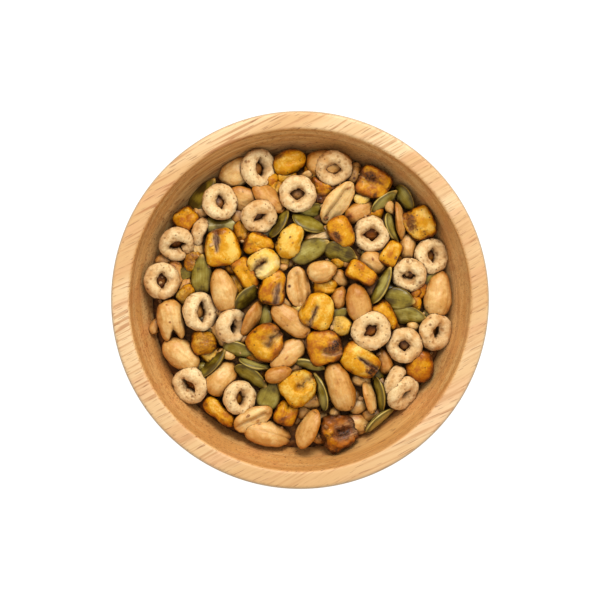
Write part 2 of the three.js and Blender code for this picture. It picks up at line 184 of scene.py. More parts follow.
def blend(tree, share, first, second, way="MIX"):
    """Mixes two colours, each a screen colour's light values or a link."""
    return add(tree, "ShaderNodeMix", {0: share, 6: first, 7: second}, data_type="RGBA",
               blend_type=way).outputs[2]


def reading(tree, name):
    """The value that each point of a mesh carries under a name."""
    return add(tree, "ShaderNodeAttribute", attribute_name=name).outputs["Fac"]


def stained(tree, base, name, strength, colour):
    """Lays a colour over another, as far as a value of the mesh's points says."""
    return blend(tree, times(tree, reading(tree, name), strength), base, colour)


def ramp(tree, value, low, high, start=0.0, end=1.0):
    """Carries a value smoothly from low..high to start..end, and no further."""
    return add(tree, "ShaderNodeMapRange", {
        "Value": value, "From Min": low, "From Max": high, "To Min": start, "To Max": end},
        interpolation_type="SMOOTHSTEP").outputs["Result"]


def noise_texture(tree, place, scale, detail, roughness=0.5):
    return add(tree, "ShaderNodeTexNoise", {"Vector": place, "Scale": scale, "Detail": detail,
                                            "Roughness": roughness})


def new_material(name, settings):
    """A material with its tree, its shader, and the object's own coordinates in metres."""
    material = bpy.data.materials.new(name)
    material.use_nodes = True
    tree = material.node_tree
    shader = tree.nodes["Principled BSDF"]
    for socket, value in settings.items():
        shader.inputs[socket].default_value = value
    place = add(tree, "ShaderNodeTexCoord").outputs["Object"]
    return material, tree, shader, place


# %% The shared groups
FLOAT = "NodeSocketFloat"
VECTOR = "NodeSocketVector"
COLOUR = "NodeSocketColor"
FLECK_CORE = 0.35                         # the share of a fleck's reach that is evenly dark
GAP_SHADE = (0.135, 0.08, 0.035, 1.0)     # painted shade: the share of its colour that a skin keeps deep in a gap


def new_group(name, output, kind, **inputs):
    """A node group with one output. Each input is a number, or the kind of socket that it needs."""
    tree = bpy.data.node_groups.new(name, "ShaderNodeTree")
    for label, value in inputs.items():
        is_number = isinstance(value, float)
        socket = tree.interface.new_socket(label, in_out="INPUT",
                                           socket_type=FLOAT if is_number else value)
        if is_number:
            socket.default_value = value
    tree.interface.new_socket(output, in_out="OUTPUT", socket_type=kind)
    source = tree.nodes.new("NodeGroupInput").outputs
    sink = tree.nodes.new("NodeGroupOutput").inputs[output]
    return tree, source, sink


def use_group(tree, group, **values):
    """The output of a node group, placed in a tree with its own values."""
    return add(tree, "ShaderNodeGroup", values, node_tree=group).outputs[0]


def mottle_group():
    """Soft clouds: Size is in metres, and Low and High are where the clouds begin and are full."""
    tree, source, sink = new_group("mottle", "Cloud", FLOAT,
                                   Place=VECTOR, Size=0.004, Low=0.4, High=0.6)
    scale = maths(tree, "DIVIDE", 1.0, source["Size"])
    cloud = noise_texture(tree, source["Place"], scale, 4.0, 0.6).outputs["Fac"]
    tree.links.new(ramp(tree, cloud, source["Low"], source["High"]), sink)
    return tree


def fleck_group():
    """Scattered round flecks: Spacing and Width in metres, and Share of the places that have one."""
    tree, source, sink = new_group("flecks", "Fleck", FLOAT,
                                   Place=VECTOR, Spacing=0.001, Width=0.0003, Share=0.3)
    scale = maths(tree, "DIVIDE", 1.0, source["Spacing"])
    cells = add(tree, "ShaderNodeTexVoronoi", {"Vector": source["Place"], "Scale": scale})
    reach = maths(tree, "DIVIDE", source["Width"], source["Spacing"])
    spot = ramp(tree, cells.outputs["Distance"], times(tree, reach, FLECK_CORE), reach, 1.0, 0.0)
    luck = add(tree, "ShaderNodeSeparateColor", {"Color": cells.outputs["Color"]})
    chosen = maths(tree, "LESS_THAN", luck.outputs[0], source["Share"])
    tree.links.new(times(tree, spot, chosen), sink)
    return tree


def relief_group():
    """A dry crumbly surface as a height from 0 to 1: Size is that of its larger lumps in metres."""
    tree, source, sink = new_group("fine_relief", "Height", FLOAT, Place=VECTOR, Size=0.0015)
    scale = maths(tree, "DIVIDE", 1.0, source["Size"])
    tree.links.new(noise_texture(tree, source["Place"], scale, 6.0, 0.65).outputs["Fac"], sink)
    return tree


def streak_group():
    """Streaks along a piece, from each point's places along and across it in millimetres."""
    tree, source, sink = new_group("streaks", "Streak", FLOAT,
                                   Length=4.0, Width=0.5, Low=0.4, High=0.6)
    along = maths(tree, "DIVIDE", reading(tree, "along"), source["Length"])
    across = maths(tree, "DIVIDE", reading(tree, "across"), source["Width"])
    spot = add(tree, "ShaderNodeCombineXYZ", {0: along, 1: across}).outputs[0]
    wave = noise_texture(tree, spot, 1.0, 2.0).outputs["Fac"]
    tree.links.new(ramp(tree, wave, source["Low"], source["High"]), sink)
    return tree


def painted_gap_shade_group():
    """A colour with painted shade: darker and browner by how closed in a point is."""
    tree, source, sink = new_group("painted_gap_shade", "Colour", COLOUR, Colour=COLOUR, Closed=0.0)
    shade = blend(tree, source["Closed"], WHITE, GAP_SHADE)
    tree.links.new(blend(tree, 1.0, source["Colour"], shade, "MULTIPLY"), sink)
    return tree


MOTTLE = mottle_group()
FLECKS = fleck_group()
RELIEF = relief_group()
STREAKS = streak_group()
GAPS = painted_gap_shade_group()
print("node groups:", [group.name for group in (MOTTLE, FLECKS, RELIEF, STREAKS, GAPS)])


# %% Skins and marks
def bump(tree, height, depth_mm, shader):
    """Feeds a height to a shader's normal, at a depth in millimetres."""
    node = add(tree, "ShaderNodeBump", {"Height": height, "Distance": depth_mm * MM})
    tree.links.new(node.outputs["Normal"], shader.inputs["Normal"])


def roughen(tree, place, size_mm, depth_mm, shader):
    """Gives a skin a fine relief, with lumps of a size and a depth in millimetres."""
    bump(tree, use_group(tree, RELIEF, Place=place, Size=size_mm * MM), depth_mm, shader)


def paint(tree, place, colour, browned, scorched, shader):
    """Feeds a food's colour to its shader, with its dark marks, and with painted shade in the heap's
    gaps.
    """
    grit = use_group(tree, MOTTLE, Place=place, Size=0.0006, Low=0.3, High=0.7)
    mark = times(tree, reading(tree, "mark"), maths(tree, "MULTIPLY_ADD", grit, 0.7, 0.65))
    brown = blend(tree, ramp(tree, mark, 0.0, 0.6, 0.0, 0.85), colour, browned)
    marked = blend(tree, ramp(tree, mark, 0.4, 1.15), brown, scorched)
    # painted shade: the colour turns darker and browner where the point is closed in
    closed = ramp(tree, reading(tree, "closed"), 0.05, 0.75)
    shaded = use_group(tree, GAPS, Colour=marked, Closed=closed)
    tree.links.new(shaded, shader.inputs["Base Color"])


print("skins are painted from the values mark and closed")


# %% [markdown]
# ## The bowl
#
# A wooden bowl is turned on a lathe, so it is modelled the same way: half of its section is drawn as
# a loop of points and spun once round the Z axis. The section has the frame's own sizes. Inside, the
# wall is a quarter of a superellipse that stands upright at the rim. Outside, it is a smooth curve
# from the foot to the rim, and the rim's two edges are rounded off.

# %% The bowl's section
RIM_RADIUS = 67.5
RIM_WIDTH = 6.65
BOWL_HEIGHT = 52.0
FOOT_RADIUS = 32.0
FLOOR_THICKNESS = 7.0
RIM_ROUND = 1.4
LOWER_PULL = (44.0, 4.0)    # the outer curve is drawn towards these two points, out and up
UPPER_PULL = (62.5, 20.0)
INNER_BEND = 1.9            # 2 makes the hollow's curve an ellipse, and less makes it leaner
RIM_INNER = RIM_RADIUS - RIM_WIDTH
HOLLOW_DEPTH = BOWL_HEIGHT - FLOOR_THICKNESS
WALL_STEPS = 26
EDGE_STEPS = 6
FOOT_SHARES = (0, 0.4, 0.75, 0.95)
RIM_SHARES = (0.65, 0.5, 0.35)


def hollow_radius(height):
    """The hollow's radius at a height above the ground."""
    down = (BOWL_HEIGHT - height) / HOLLOW_DEPTH
    return RIM_INNER * math.sqrt(max(0.0, 1 - down ** INNER_BEND))


def hollow_point(angle, gap=0.0):
    """A point of the hollow's wall: the angle is 0 at the rim and a right angle at the bottom."""
    radius = RIM_INNER * math.cos(angle)
    height = BOWL_HEIGHT - HOLLOW_DEPTH * math.sin(angle) ** (2 / INNER_BEND)
    return max(0.0, radius - gap), height + gap * math.sin(angle)


def hollow_angle(height):
    return math.asin(((BOWL_HEIGHT - height) / HOLLOW_DEPTH) ** (INNER_BEND / 2))


def outside_point(t):
    """A point of the outer wall's curve, from the foot at 0 to the rim at 1."""
    ends_and_pulls = ((FOOT_RADIUS, 0.0), LOWER_PULL, UPPER_PULL, (RIM_RADIUS, BOWL_HEIGHT - RIM_ROUND))
    shares = ((1 - t) ** 3, 3 * t * (1 - t) ** 2, 3 * t * t * (1 - t), t ** 3)
    return tuple(sum(s * p[i] for s, p in zip(shares, ends_and_pulls)) for i in (0, 1))


def round_edge(centre_radius, start, end, steps):
    """Points of a rounded edge of the rim between two headings, in right angles."""
    points = []
    for i in range(steps + 1):
        angle = math.pi / 2 * (start + (end - start) * i / steps)
        points.append((centre_radius + RIM_ROUND * math.cos(angle),
                       BOWL_HEIGHT - RIM_ROUND + RIM_ROUND * math.sin(angle)))
    return points


def bowl_section():
    """Points from the middle of the foot, up the outside, over the rim and down to the axis again."""
    foot = [(FOOT_RADIUS * share, 0.0) for share in FOOT_SHARES]
    outside = [outside_point(i / WALL_STEPS) for i in range(WALL_STEPS)]
    rim_top = [(RIM_INNER + RIM_WIDTH * share, BOWL_HEIGHT) for share in RIM_SHARES]
    start = hollow_angle(BOWL_HEIGHT - RIM_ROUND)
    inside = [hollow_point(start + (math.pi / 2 - start) * i / WALL_STEPS)
              for i in range(1, WALL_STEPS + 1)]
    return (foot + outside + round_edge(RIM_RADIUS - RIM_ROUND, 0, 1, EDGE_STEPS) + rim_top
            + round_edge(RIM_INNER + RIM_ROUND, 1, 2, EDGE_STEPS) + inside)


section = bowl_section()
print("the section has", len(section), "points")


# %% Helpers for finished meshes
SAME_POINT = 1e-4           # points nearer than this are one


def finish_mesh(bm, name, material, node):
    """Makes a bmesh in millimetres a piece of the object: it rides on the body and replaces a node."""
    bmesh.ops.scale(bm, vec=(MM, MM, MM), verts=bm.verts)
    mesh = bpy.data.meshes.new(name)
    bm.to_mesh(mesh)
    bm.free()
    mesh.polygons.foreach_set("use_smooth", [True] * len(mesh.polygons))
    mesh.materials.append(material)
    piece = bpy.data.objects.new(name, mesh)
    bpy.context.scene.collection.objects.link(piece)
    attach(piece, "root")
    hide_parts(node)
    mesh.calc_loop_triangles()
    print(name, "has", len(mesh.loop_triangles), "triangles")
    return piece


def give_points(made, name, values):
    """Gives each point of a piece's mesh a value under a name, for the material to read."""
    made.data.attributes.new(name, "FLOAT", "POINT").data.foreach_set("value", values)


def spin_section(points, steps):
    """A solid of revolution from a section that starts and ends on the axis."""
    bm = bmesh.new()
    line = [bm.verts.new((radius, 0, height)) for radius, height in points]
    edges = [bm.edges.new(pair) for pair in zip(line, line[1:])]
    bmesh.ops.spin(bm, geom=line + edges, cent=(0, 0, 0), axis=(0, 0, 1), angle=math.tau,
                   steps=steps, use_merge=True)
    bmesh.ops.remove_doubles(bm, verts=bm.verts, dist=SAME_POINT)
    bmesh.ops.recalc_face_normals(bm, faces=bm.faces)
    return bm


# %% [markdown]
# ### The bowl's wood
#
# The wood is pale, with straight grain. Its vessels are fine tubes along the grain: cut lengthwise
# on the rim they show as thin brown strokes, and cut across they are dots. A noise that is long along
# the grain and narrow both ways across it shows the same two faces of the wood, as it fills space.
# The growth layers lie almost level and band the walls. Inside, the wood is darker and warmer: partly
# its oil, partly painted shade.

# %% The wood material
GRAIN_TURN = math.radians(28)       # the grain's heading, from the X axis
GRAIN_WANDER = (0.005, 0.005, 0.0)  # how far the grain strays, in metres
WANDER_SCALE = 22.0
OILED_AND_SHADED = (1.00, 0.85, 0.59, 1.0)     # the colour that the inside is multiplied by beside the rim: partly oil, partly painted shade
LOWER_LEFT = (-0.5, -0.87, 0)       # the wood is darker on this side
UPPER_LEFT = (-0.87, 0.5, 0)        # and its strokes are more crowded on this one

# each one's spots in millimetres: their length along the grain, and a width and a depth across it
LAYERS = (170, 22, 4.2)
BANDS = (60, 5.5, 16)
FIBRES = (22, 0.9, 0.9)
VESSELS = (5.0, 0.36, 0.36)
CROWDS = (34, 13, 13)
GROWTH_LINES = (120, 50, 1.5)


def grain_noise(tree, grain, spots, detail=2.0):
    """Noise whose spots have a given length along the grain, and a width and a depth across it."""
    cells = add(tree, "ShaderNodeVectorMath", {0: grain, 1: [1 / (size * MM) for size in spots]},
                operation="MULTIPLY")
    return noise_texture(tree, cells.outputs[0], 1.0, detail, 0.55).outputs["Fac"]


def towards(tree, place, direction):
    """How far a place lies from the axis in a direction, in metres."""
    return add(tree, "ShaderNodeVectorMath", {0: place, 1: direction},
               operation="DOT_PRODUCT").outputs["Value"]


def wood_material():
    material, tree, shader, place = new_material("turned_wood", {"Roughness": 0.5})
    waves = noise_texture(tree, place, WANDER_SCALE, 1.0)
    bent = add(tree, "ShaderNodeVectorMath", {0: waves.outputs["Color"], 1: GRAIN_WANDER, 2: place},
               operation="MULTIPLY_ADD")
    grain = add(tree, "ShaderNodeMapping", {"Vector": bent.outputs[0],
                                            "Rotation": (0, 0, -GRAIN_TURN)}).outputs[0]
    inside = reading(tree, "inside")
    layers = ramp(tree, grain_noise(tree, grain, LAYERS), 0.38, 0.64)
    darker = ramp(tree, towards(tree, place, LOWER_LEFT), 0.02, 0.07, 0.0, 0.7)
    pale = blend(tree, maths(tree, "ADD", layers, darker, clamp=True),
                 screen(220, 195, 156), screen(205, 167, 118))
    bands = ramp(tree, grain_noise(tree, grain, BANDS), 0.5, 0.66, 0.0, 0.5)
    pinkish = blend(tree, bands, pale, screen(207, 161, 119))
    fibres = grain_noise(tree, grain, FIBRES)
    fibred = blend(tree, ramp(tree, fibres, 0.42, 0.75, 0.0, 0.5), pinkish, screen(181, 134, 85))
    strokes = ramp(tree, grain_noise(tree, grain, FIBRES, 0.0), 0.61, 0.68)
    crowds = ramp(tree, grain_noise(tree, grain, CROWDS), 0.4, 0.64, 0.0, 0.6)
    crowded = maths(tree, "ADD", crowds,
                    ramp(tree, towards(tree, place, UPPER_LEFT), -0.02, 0.06, 0.0, 0.5))
    shown = times(tree, times(tree, strokes, crowded), ramp(tree, inside, 0.0, 1.0, 0.5, 0.4))
    streaked = blend(tree, shown, fibred, screen(164, 104, 56))
    lines = ramp(tree, grain_noise(tree, grain, GROWTH_LINES), 0.55, 0.66, 0.0, 0.35)
    lined = blend(tree, times(tree, lines, inside), streaked, screen(150, 98, 55))
    vessels = times(tree, ramp(tree, grain_noise(tree, grain, VESSELS, 0.0), 0.68, 0.78),
                    ramp(tree, inside, 0.0, 1.0, 0.5, 0.8))
    pored = blend(tree, vessels, lined, screen(125, 71, 37))
    # oil and painted shade: the inside is darker and warmer than the rim
    oiled_and_shaded = blend(tree, 1.0, pored, blend(tree, inside, WHITE, OILED_AND_SHADED), "MULTIPLY")
    # painted shade: a thin greyish line along the rim's outer edge, where the bowl curves under
    shaded_edge = blend(tree, reading(tree, "outer_edge"), oiled_and_shaded, screen(170, 148, 119))
    tree.links.new(shaded_edge, shader.inputs["Base Color"])
    bump(tree, maths(tree, "SUBTRACT", fibres, vessels), 0.05, shader)
    return material


# %% Spin the bowl
BOWL_STEPS = 192
INSIDE_EDGE = 0.9           # the darker inside, partly oil and partly painted shade, stops this far down the rim's inner edge
OUTER_EDGE = 0.7            # the rim's outer edge gets a greyish painted shade over this width, where the bowl curves under
EDGE_SHADE_DEPTH = 0.9 * RIM_ROUND


def inside_share(place):
    """How far a point of the bowl belongs to its inside, which is darker with oil and painted shade."""
    is_hollow = place.z > FLOOR_THICKNESS / 2 and place.xy.length < RIM_INNER + INSIDE_EDGE
    return min(1.0, (BOWL_HEIGHT - place.z) / INSIDE_EDGE) if is_hollow else 0.0


def edge_share(place):
    """How far a point of the bowl belongs to the greyish painted shade along the rim's outer edge."""
    is_rounded = BOWL_HEIGHT - place.z < EDGE_SHADE_DEPTH
    return max(0.0, 1 - (RIM_RADIUS - place.xy.length) / OUTER_EDGE) if is_rounded else 0.0


bowl_bm = spin_section(section, BOWL_STEPS)
inside_shares = [inside_share(vert.co) for vert in bowl_bm.verts]
edge_shares = [edge_share(vert.co) for vert in bowl_bm.verts]
bowl = finish_mesh(bowl_bm, "wooden_bowl", wood_material(), "bowl")
give_points(bowl, "inside", inside_shares)
give_points(bowl, "outer_edge", edge_shares)


# %% [markdown]
# ## Where the pieces lie
#
# A heap has to look dropped, and each piece has to rest on what is under it. The pieces on top are
# listed in a table for each kind, and some of them differ a little from the solids in place,
# size, turn or layer. Then a drop rule finds their heights. The heap is a grid of heights that starts
# as a low dome. The pieces come down one after another, the bottom layer first. Each is lowered as a
# smooth ovoid until it touches, presses in a little, and raises the grid.

# %% Sizes of the heap and its pieces
GAP = 0.3                   # between the heap and the wood
HEAP_EDGE_DEPTH = 14.5      # from the rim down to the heap's surface at the wall
HEAP_CENTRE_DEPTH = 7.6     # and in the middle
BED_DEPTH = 6.0             # from the surface down to what the first pieces fall on
LAYER_TOP = (-3.6, -3.0, -0.4, 1.6)     # how high over the surface the pieces of a layer reach
SINK = 0.9                  # how far a piece presses in
FOOTPRINT = 0.86            # the share of a piece's outline that has to find something under it
WIDEST_DEPTH = 2.0          # a piece is widest this far below the surface
SMALL_TILT = math.radians(9)
LEAST_SHARE = 0.02          # a flat piece never stands quite on its edge
DRAW_SEED = 20
RING_THICKNESS = 5.4
CORN_THICKNESS = 7.6
PEANUT_ROUNDNESS = 0.95
HALF_WIDTH = 8.8
HALF_THICKNESS = 4.8
SEED_WIDTH = 8.2
SEED_THICKNESS = 2.8
FILL_SPOTS = 300            # spots that are tried for a lower piece
FILL_RADIUS = 52.0
FILL_LENGTH = (7, 10)
FILL_WIDTH = 0.7            # a share of the length

# %% Oat rings
# x, y, across, hole, turn, roll, layer, the hole's narrowness, how toasted, heading of a crack or None
OAT_RINGS = [
    (-28.8, 35.3, 13.2, 4.2, 100, 12, 3, 0.72, 0.30, None),
    (-14.8, 47.4, 14.4, 5.0, 97, 32, 3, 0.78, 0.15, None),
    (-44.4, 20.2, 13.0, 4.6, 15, 28, 3, 0.70, 0.50, 300),
    (-35.5, 24.6, 11.5, 3.6, 65, 72, 2, 0.80, 0.55, None),
    (-14.7, 30.0, 12.8, 3.4, 30, 22, 3, 0.65, 0.75, None),
    (-0.9, 38.2, 13.5, 3.8, 0, 3, 3, 1.15, 0.40, None),
    (12.2, 47.4, 13.2, 4.0, 0, 20, 3, 0.95, 0.80, None),
    (25.7, 23.6, 13.2, 4.2, 0, 5, 3, 1.05, 0.40, None),
    (47.3, 15.9, 13.2, 3.9, 95, 24, 2, 0.75, 0.20, None),
    (39.2, 8.9, 12.8, 3.9, 0, 18, 3, 0.80, 0.35, None),
    (49.0, -11.6, 13.6, 3.2, 75, 30, 3, 0.80, 0.60, None),
    (25.5, -10.9, 14.3, 4.4, 40, 3, 3, 0.95, 0.50, None),
    (37.6, -16.3, 13.1, 3.4, 0, 10, 3, 1.10, 0.60, None),
    (-49.9, 7.0, 13.4, 4.3, 90, 10, 3, 0.88, 0.50, None),
    (-35.8, -4.2, 14.1, 5.8, 90, 30, 3, 0.62, 0.25, None),
    (-24.5, -9.4, 13.1, 3.6, 88, 40, 3, 0.90, 0.45, None),
    (-21.8, -35.2, 12.6, 4.0, 90, 24, 3, 0.80, 0.40, None),
    (-40.4, -31.4, 13.6, 5.0, -50, 28, 3, 0.60, 0.00, None),
    (34.2, -29.5, 12.3, 4.0, 65, 78, 3, 0.80, 0.30, None),
    (39.7, -35.9, 13.5, 1.9, 52, 50, 3, 0.70, 0.15, None),
]

# %% Toasted corn
# x, y, length, width, turn, layer, how toasted, share of crust, germ (negative: towards the crown),
# depth of its groove, how wide the groove spreads, how far it lies to the side, and how square it is
CORN = [
    (-40.9, 29.2, 9.0, 8.5, 45, 2, 0.62, 0.55, 0.0, 0.2, 0.12, 0.00, 3.2),
    (-28.0, 19.0, 13.2, 12.2, 100, 3, 0.15, 0.30, 1.0, 0.9, 0.13, 0.12, 3.6),
    (-20.7, 24.5, 10.0, 8.0, 90, 1, 0.62, 0.70, 0.0, 0.2, 0.12, 0.00, 2.4),
    (-14.8, 19.6, 11.0, 8.5, -20, 2, 0.48, 0.60, 0.0, 0.4, 0.12, 0.00, 3.2),
    (-3.7, 49.8, 12.4, 8.5, 20, 2, 0.22, 0.25, 0.0, 0.5, 0.12, 0.00, 2.4),
    (-8.8, 39.8, 8.0, 6.0, 70, 1, 0.45, 0.40, 0.4, 0.5, 0.16, 0.00, 2.6),
    (7.5, 39.6, 11.0, 10.0, 0, 1, 0.82, 0.80, 0.5, 0.8, 0.16, -0.20, 3.0),
    (26.8, 42.2, 12.2, 10.8, -24, 3, 0.68, 0.62, -0.5, 1.4, 0.27, 0.05, 4.0),
    (-3.6, 21.3, 13.0, 8.5, 65, 3, -0.04, 0.05, 0.0, 0.6, 0.12, 0.00, 2.6),
    (14.8, 24.4, 12.0, 8.5, -60, 3, 0.45, 0.20, 0.5, 0.5, 0.18, -0.34, 2.8),
    (43.2, 27.5, 12.0, 11.3, -60, 3, 0.40, 0.60, -0.4, 0.8, 0.20, -0.34, 3.4),
    (32.7, 16.8, 9.6, 6.6, 60, 2, 0.40, 0.20, 0.3, 0.3, 0.15, 0.30, 4.0),
    (22.1, 9.6, 11.5, 6.5, -30, 3, 0.62, 0.25, 0.0, 0.0, 0.12, 0.00, 4.2),
    (29.9, -6.1, 12.0, 9.0, -55, 2, 0.50, 0.25, 0.2, 0.5, 0.12, 0.00, 2.8),
    (-37.9, 14.1, 8.0, 8.0, 0, 1, 0.32, 0.60, 0.0, 0.4, 0.12, 0.00, 3.0),
    (-22.6, 5.4, 9.0, 6.0, -60, 1, 0.50, 0.60, 0.0, 0.4, 0.12, 0.00, 2.8),
    (-19.6, 9.5, 12.5, 7.0, -60, 2, 0.64, 0.60, 0.0, 0.4, 0.12, 0.00, 3.4),
    (-34.6, -15.2, 9.4, 9.0, 0, 2, 0.35, 0.45, 0.0, 0.3, 0.10, 0.00, 2.3),
    (-12.8, 13.0, 11.5, 11.0, 45, 3, -0.40, 0.05, -0.6, 2.6, 0.18, 0.05, 2.4),
    (-9.8, 4.6, 13.0, 9.2, 80, 3, 0.50, 0.40, -0.9, 1.0, 0.19, -0.22, 3.2),
    (9.1, 4.8, 9.0, 8.0, 0, 1, 0.45, 0.50, 0.0, 0.3, 0.12, 0.00, 2.8),
    (6.4, -4.0, 13.0, 11.5, 67, 3, 0.15, 0.05, -0.8, 1.5, 0.12, 0.10, 3.2),
    (-12.2, -15.0, 13.5, 13.0, 45, 3, 0.42, 0.30, 0.65, 2.3, 0.21, -0.08, 2.4),
    (14.6, -9.4, 8.6, 7.8, 0, 2, -0.15, 0.15, 0.0, 0.0, 0.12, 0.00, 2.3),
    (8.8, -17.0, 12.5, 12.5, 10, 3, 0.66, 0.40, 0.6, 0.9, 0.15, -0.20, 3.2),
    (21.7, -21.7, 15.0, 11.0, -35, 3, 0.25, 0.10, 1.0, 1.2, 0.12, 0.04, 2.8),
    (-0.6, -31.4, 13.0, 12.5, 35, 3, 0.20, 0.15, 0.5, 2.2, 0.18, 0.00, 2.8),
    (-5.1, -40.6, 9.5, 8.0, 70, 2, 0.60, 0.40, 0.2, 0.6, 0.12, 0.00, 3.0),
    (14.0, -47.7, 12.7, 12.7, 20, 3, 0.95, 0.85, 1.0, 1.9, 0.27, 0.00, 2.9),
    (-29.0, -40.4, 14.0, 7.0, -42, 3, 0.35, 0.20, 0.0, 0.3, 0.12, 0.00, 2.3),
    (43.3, -23.9, 12.0, 10.0, 70, 2, 0.72, 0.10, 0.0, 0.0, 0.12, 0.00, 2.2),
]

# %% Whole peanuts
# x, y, length, width, turn, layer, how toasted, how far split
WHOLE_PEANUTS = [
    (-22.5, 46.0, 14.0, 11.0, 40, 2, 0.10, 0.0),
    (10.4, 49.3, 17.0, 10.0, 3, 2, 0.55, 0.0),
    (38.9, 19.0, 11.0, 7.0, 90, 1, 0.50, 0.0),
    (49.7, 1.8, 17.0, 10.2, 82, 2, 0.22, 0.0),
    (21.0, -1.2, 14.0, 9.3, 102, 3, 0.75, 0.0),
    (-27.5, 3.5, 15.5, 9.3, 105, 3, 0.32, 0.0),
    (-46.4, -7.5, 15.5, 10.0, -80, 3, 0.20, 1.0),
    (-42.8, -19.8, 15.5, 10.0, -40, 2, 0.15, 0.0),
    (7.9, 10.3, 10.8, 7.8, 10, 3, 0.30, 0.0),
    (14.2, -31.0, 19.0, 9.5, 108, 3, 0.52, 0.0),
    (-11.9, -48.2, 17.5, 9.5, -15, 2, 0.25, 0.12),
    (-28.4, -28.3, 14.0, 10.0, 52, 2, 0.40, 0.0),
    (-7.9, -26.6, 9.6, 5.8, 20, 3, 0.95, 0.0),
    (30.5, -22.3, 9.5, 6.0, 105, 1, 1.00, 0.0),
    (21.7, 31.9, 12.0, 8.0, 30, 1, 0.65, 0.0),
    (20.2, -44.8, 10.4, 8.4, 0, 1, 0.35, 0.0),
    (7.7, -45.8, 12.0, 8.0, 75, 1, 0.20, 0.0),
    (14.0, 0.7, 8.0, 5.4, 70, 2, 0.75, 0.0),
    (-28.1, -12.4, 12.0, 7.0, -60, 1, 0.60, 0.0),
]

# %% Peanut halves
# x, y, length, width that shows, turn, layer, 1 with the flat face up or -1, how toasted,
# and which lobe of the face stands higher: 1 for the left one, -1 for the right one
PEANUT_HALVES = [
    (13.6, 35.2, 18.0, 8.5, 55, 3, 1, -0.35, 1),
    (-19.5, 36.0, 15.0, 8.7, -20, 2, -1, 0.35, 0),
    (-11.1, 36.6, 15.0, 8.0, -40, 2, -1, 0.45, 0),
    (8.1, 22.2, 14.0, 8.8, 20, 1, -1, -0.10, 0),
    (35.6, 28.6, 14.5, 4.8, -82, 2, -1, 0.10, 0),
    (26.0, 13.3, 10.0, 8.8, -25, 2, -1, 0.15, 0),
    (-0.7, 4.8, 15.0, 8.7, 96, 3, 1, 0.05, -1),
    (-3.2, -7.5, 17.5, 8.8, -38, 3, -1, 0.38, 0),
    (-17.4, -6.4, 14.0, 6.0, 62, 2, -1, 0.50, 0),
    (-4.3, -19.3, 16.0, 8.8, 38, 3, -1, 0.20, 0),
    (-16.8, -42.8, 14.8, 8.2, 26, 3, 1, -0.08, 1),
    (3.1, -46.3, 15.5, 7.5, 65, 3, -1, 0.20, 0),
    (24.7, -34.8, 13.0, 5.5, -78, 2, -1, -0.10, 0),
    (-45.8, 7.6, 14.0, 8.8, 80, 1, -1, 0.50, 0),
]

# %% Pumpkin seeds
# x, y, length, width that shows, turn, layer, how pale and dry
PUMPKIN_SEEDS = [
    (-35.2, 38.0, 14.0, 6.4, 50, 2, -0.1),
    (-27.8, 27.3, 13.0, 8.0, 5, 1, 0.4),
    (-7.8, 27.5, 12.0, 4.5, 55, 2, 0.1),
    (3.1, 27.7, 13.0, 5.5, -25, 2, 0.4),
    (4.2, 31.8, 10.0, 6.0, 15, 1, 0.7),
    (3.6, 17.9, 14.5, 8.2, 25, 3, 0.45),
    (14.6, 16.9, 12.0, 7.5, -20, 2, 0.12),
    (30.3, 35.1, 12.0, 4.8, 45, 2, 1.05),
    (37.6, 36.6, 11.0, 5.5, -55, 2, 0.45),
    (33.2, 26.2, 11.0, 4.0, -70, 2, 0.7),
    (29.2, 5.1, 14.5, 4.5, 62, 3, 0.6),
    (35.7, 0.3, 10.9, 8.0, -10, 2, 0.35),
    (38.9, -5.8, 13.5, 7.0, -10, 2, 0.7),
    (-35.3, 8.9, 14.5, 8.0, 88, 2, 0.32),
    (-18.2, 1.6, 13.5, 5.5, 38, 2, 0.2),
    (-13.4, -6.1, 9.0, 6.6, 75, 1, 0.9),
    (3.4, -23.6, 11.0, 4.0, -12, 2, 1.0),
    (7.5, -33.2, 14.0, 4.0, 105, 2, 0.75),
    (-11.0, -34.6, 11.0, 8.2, 65, 2, 0.5),
    (-15.8, -23.1, 13.0, 3.5, -12, 2, 1.2),
    (-22.3, -18.1, 11.0, 5.5, -15, 2, 0.6),
    (-17.7, -27.5, 13.5, 5.5, -33, 2, 0.5),
    (-31.7, -22.7, 13.8, 4.6, 45, 2, -0.05),
    (28.6, -34.0, 13.5, 3.8, -80, 2, 0.4),
    (28.6, -43.2, 13.5, 3.3, 40, 2, 1.8),
]
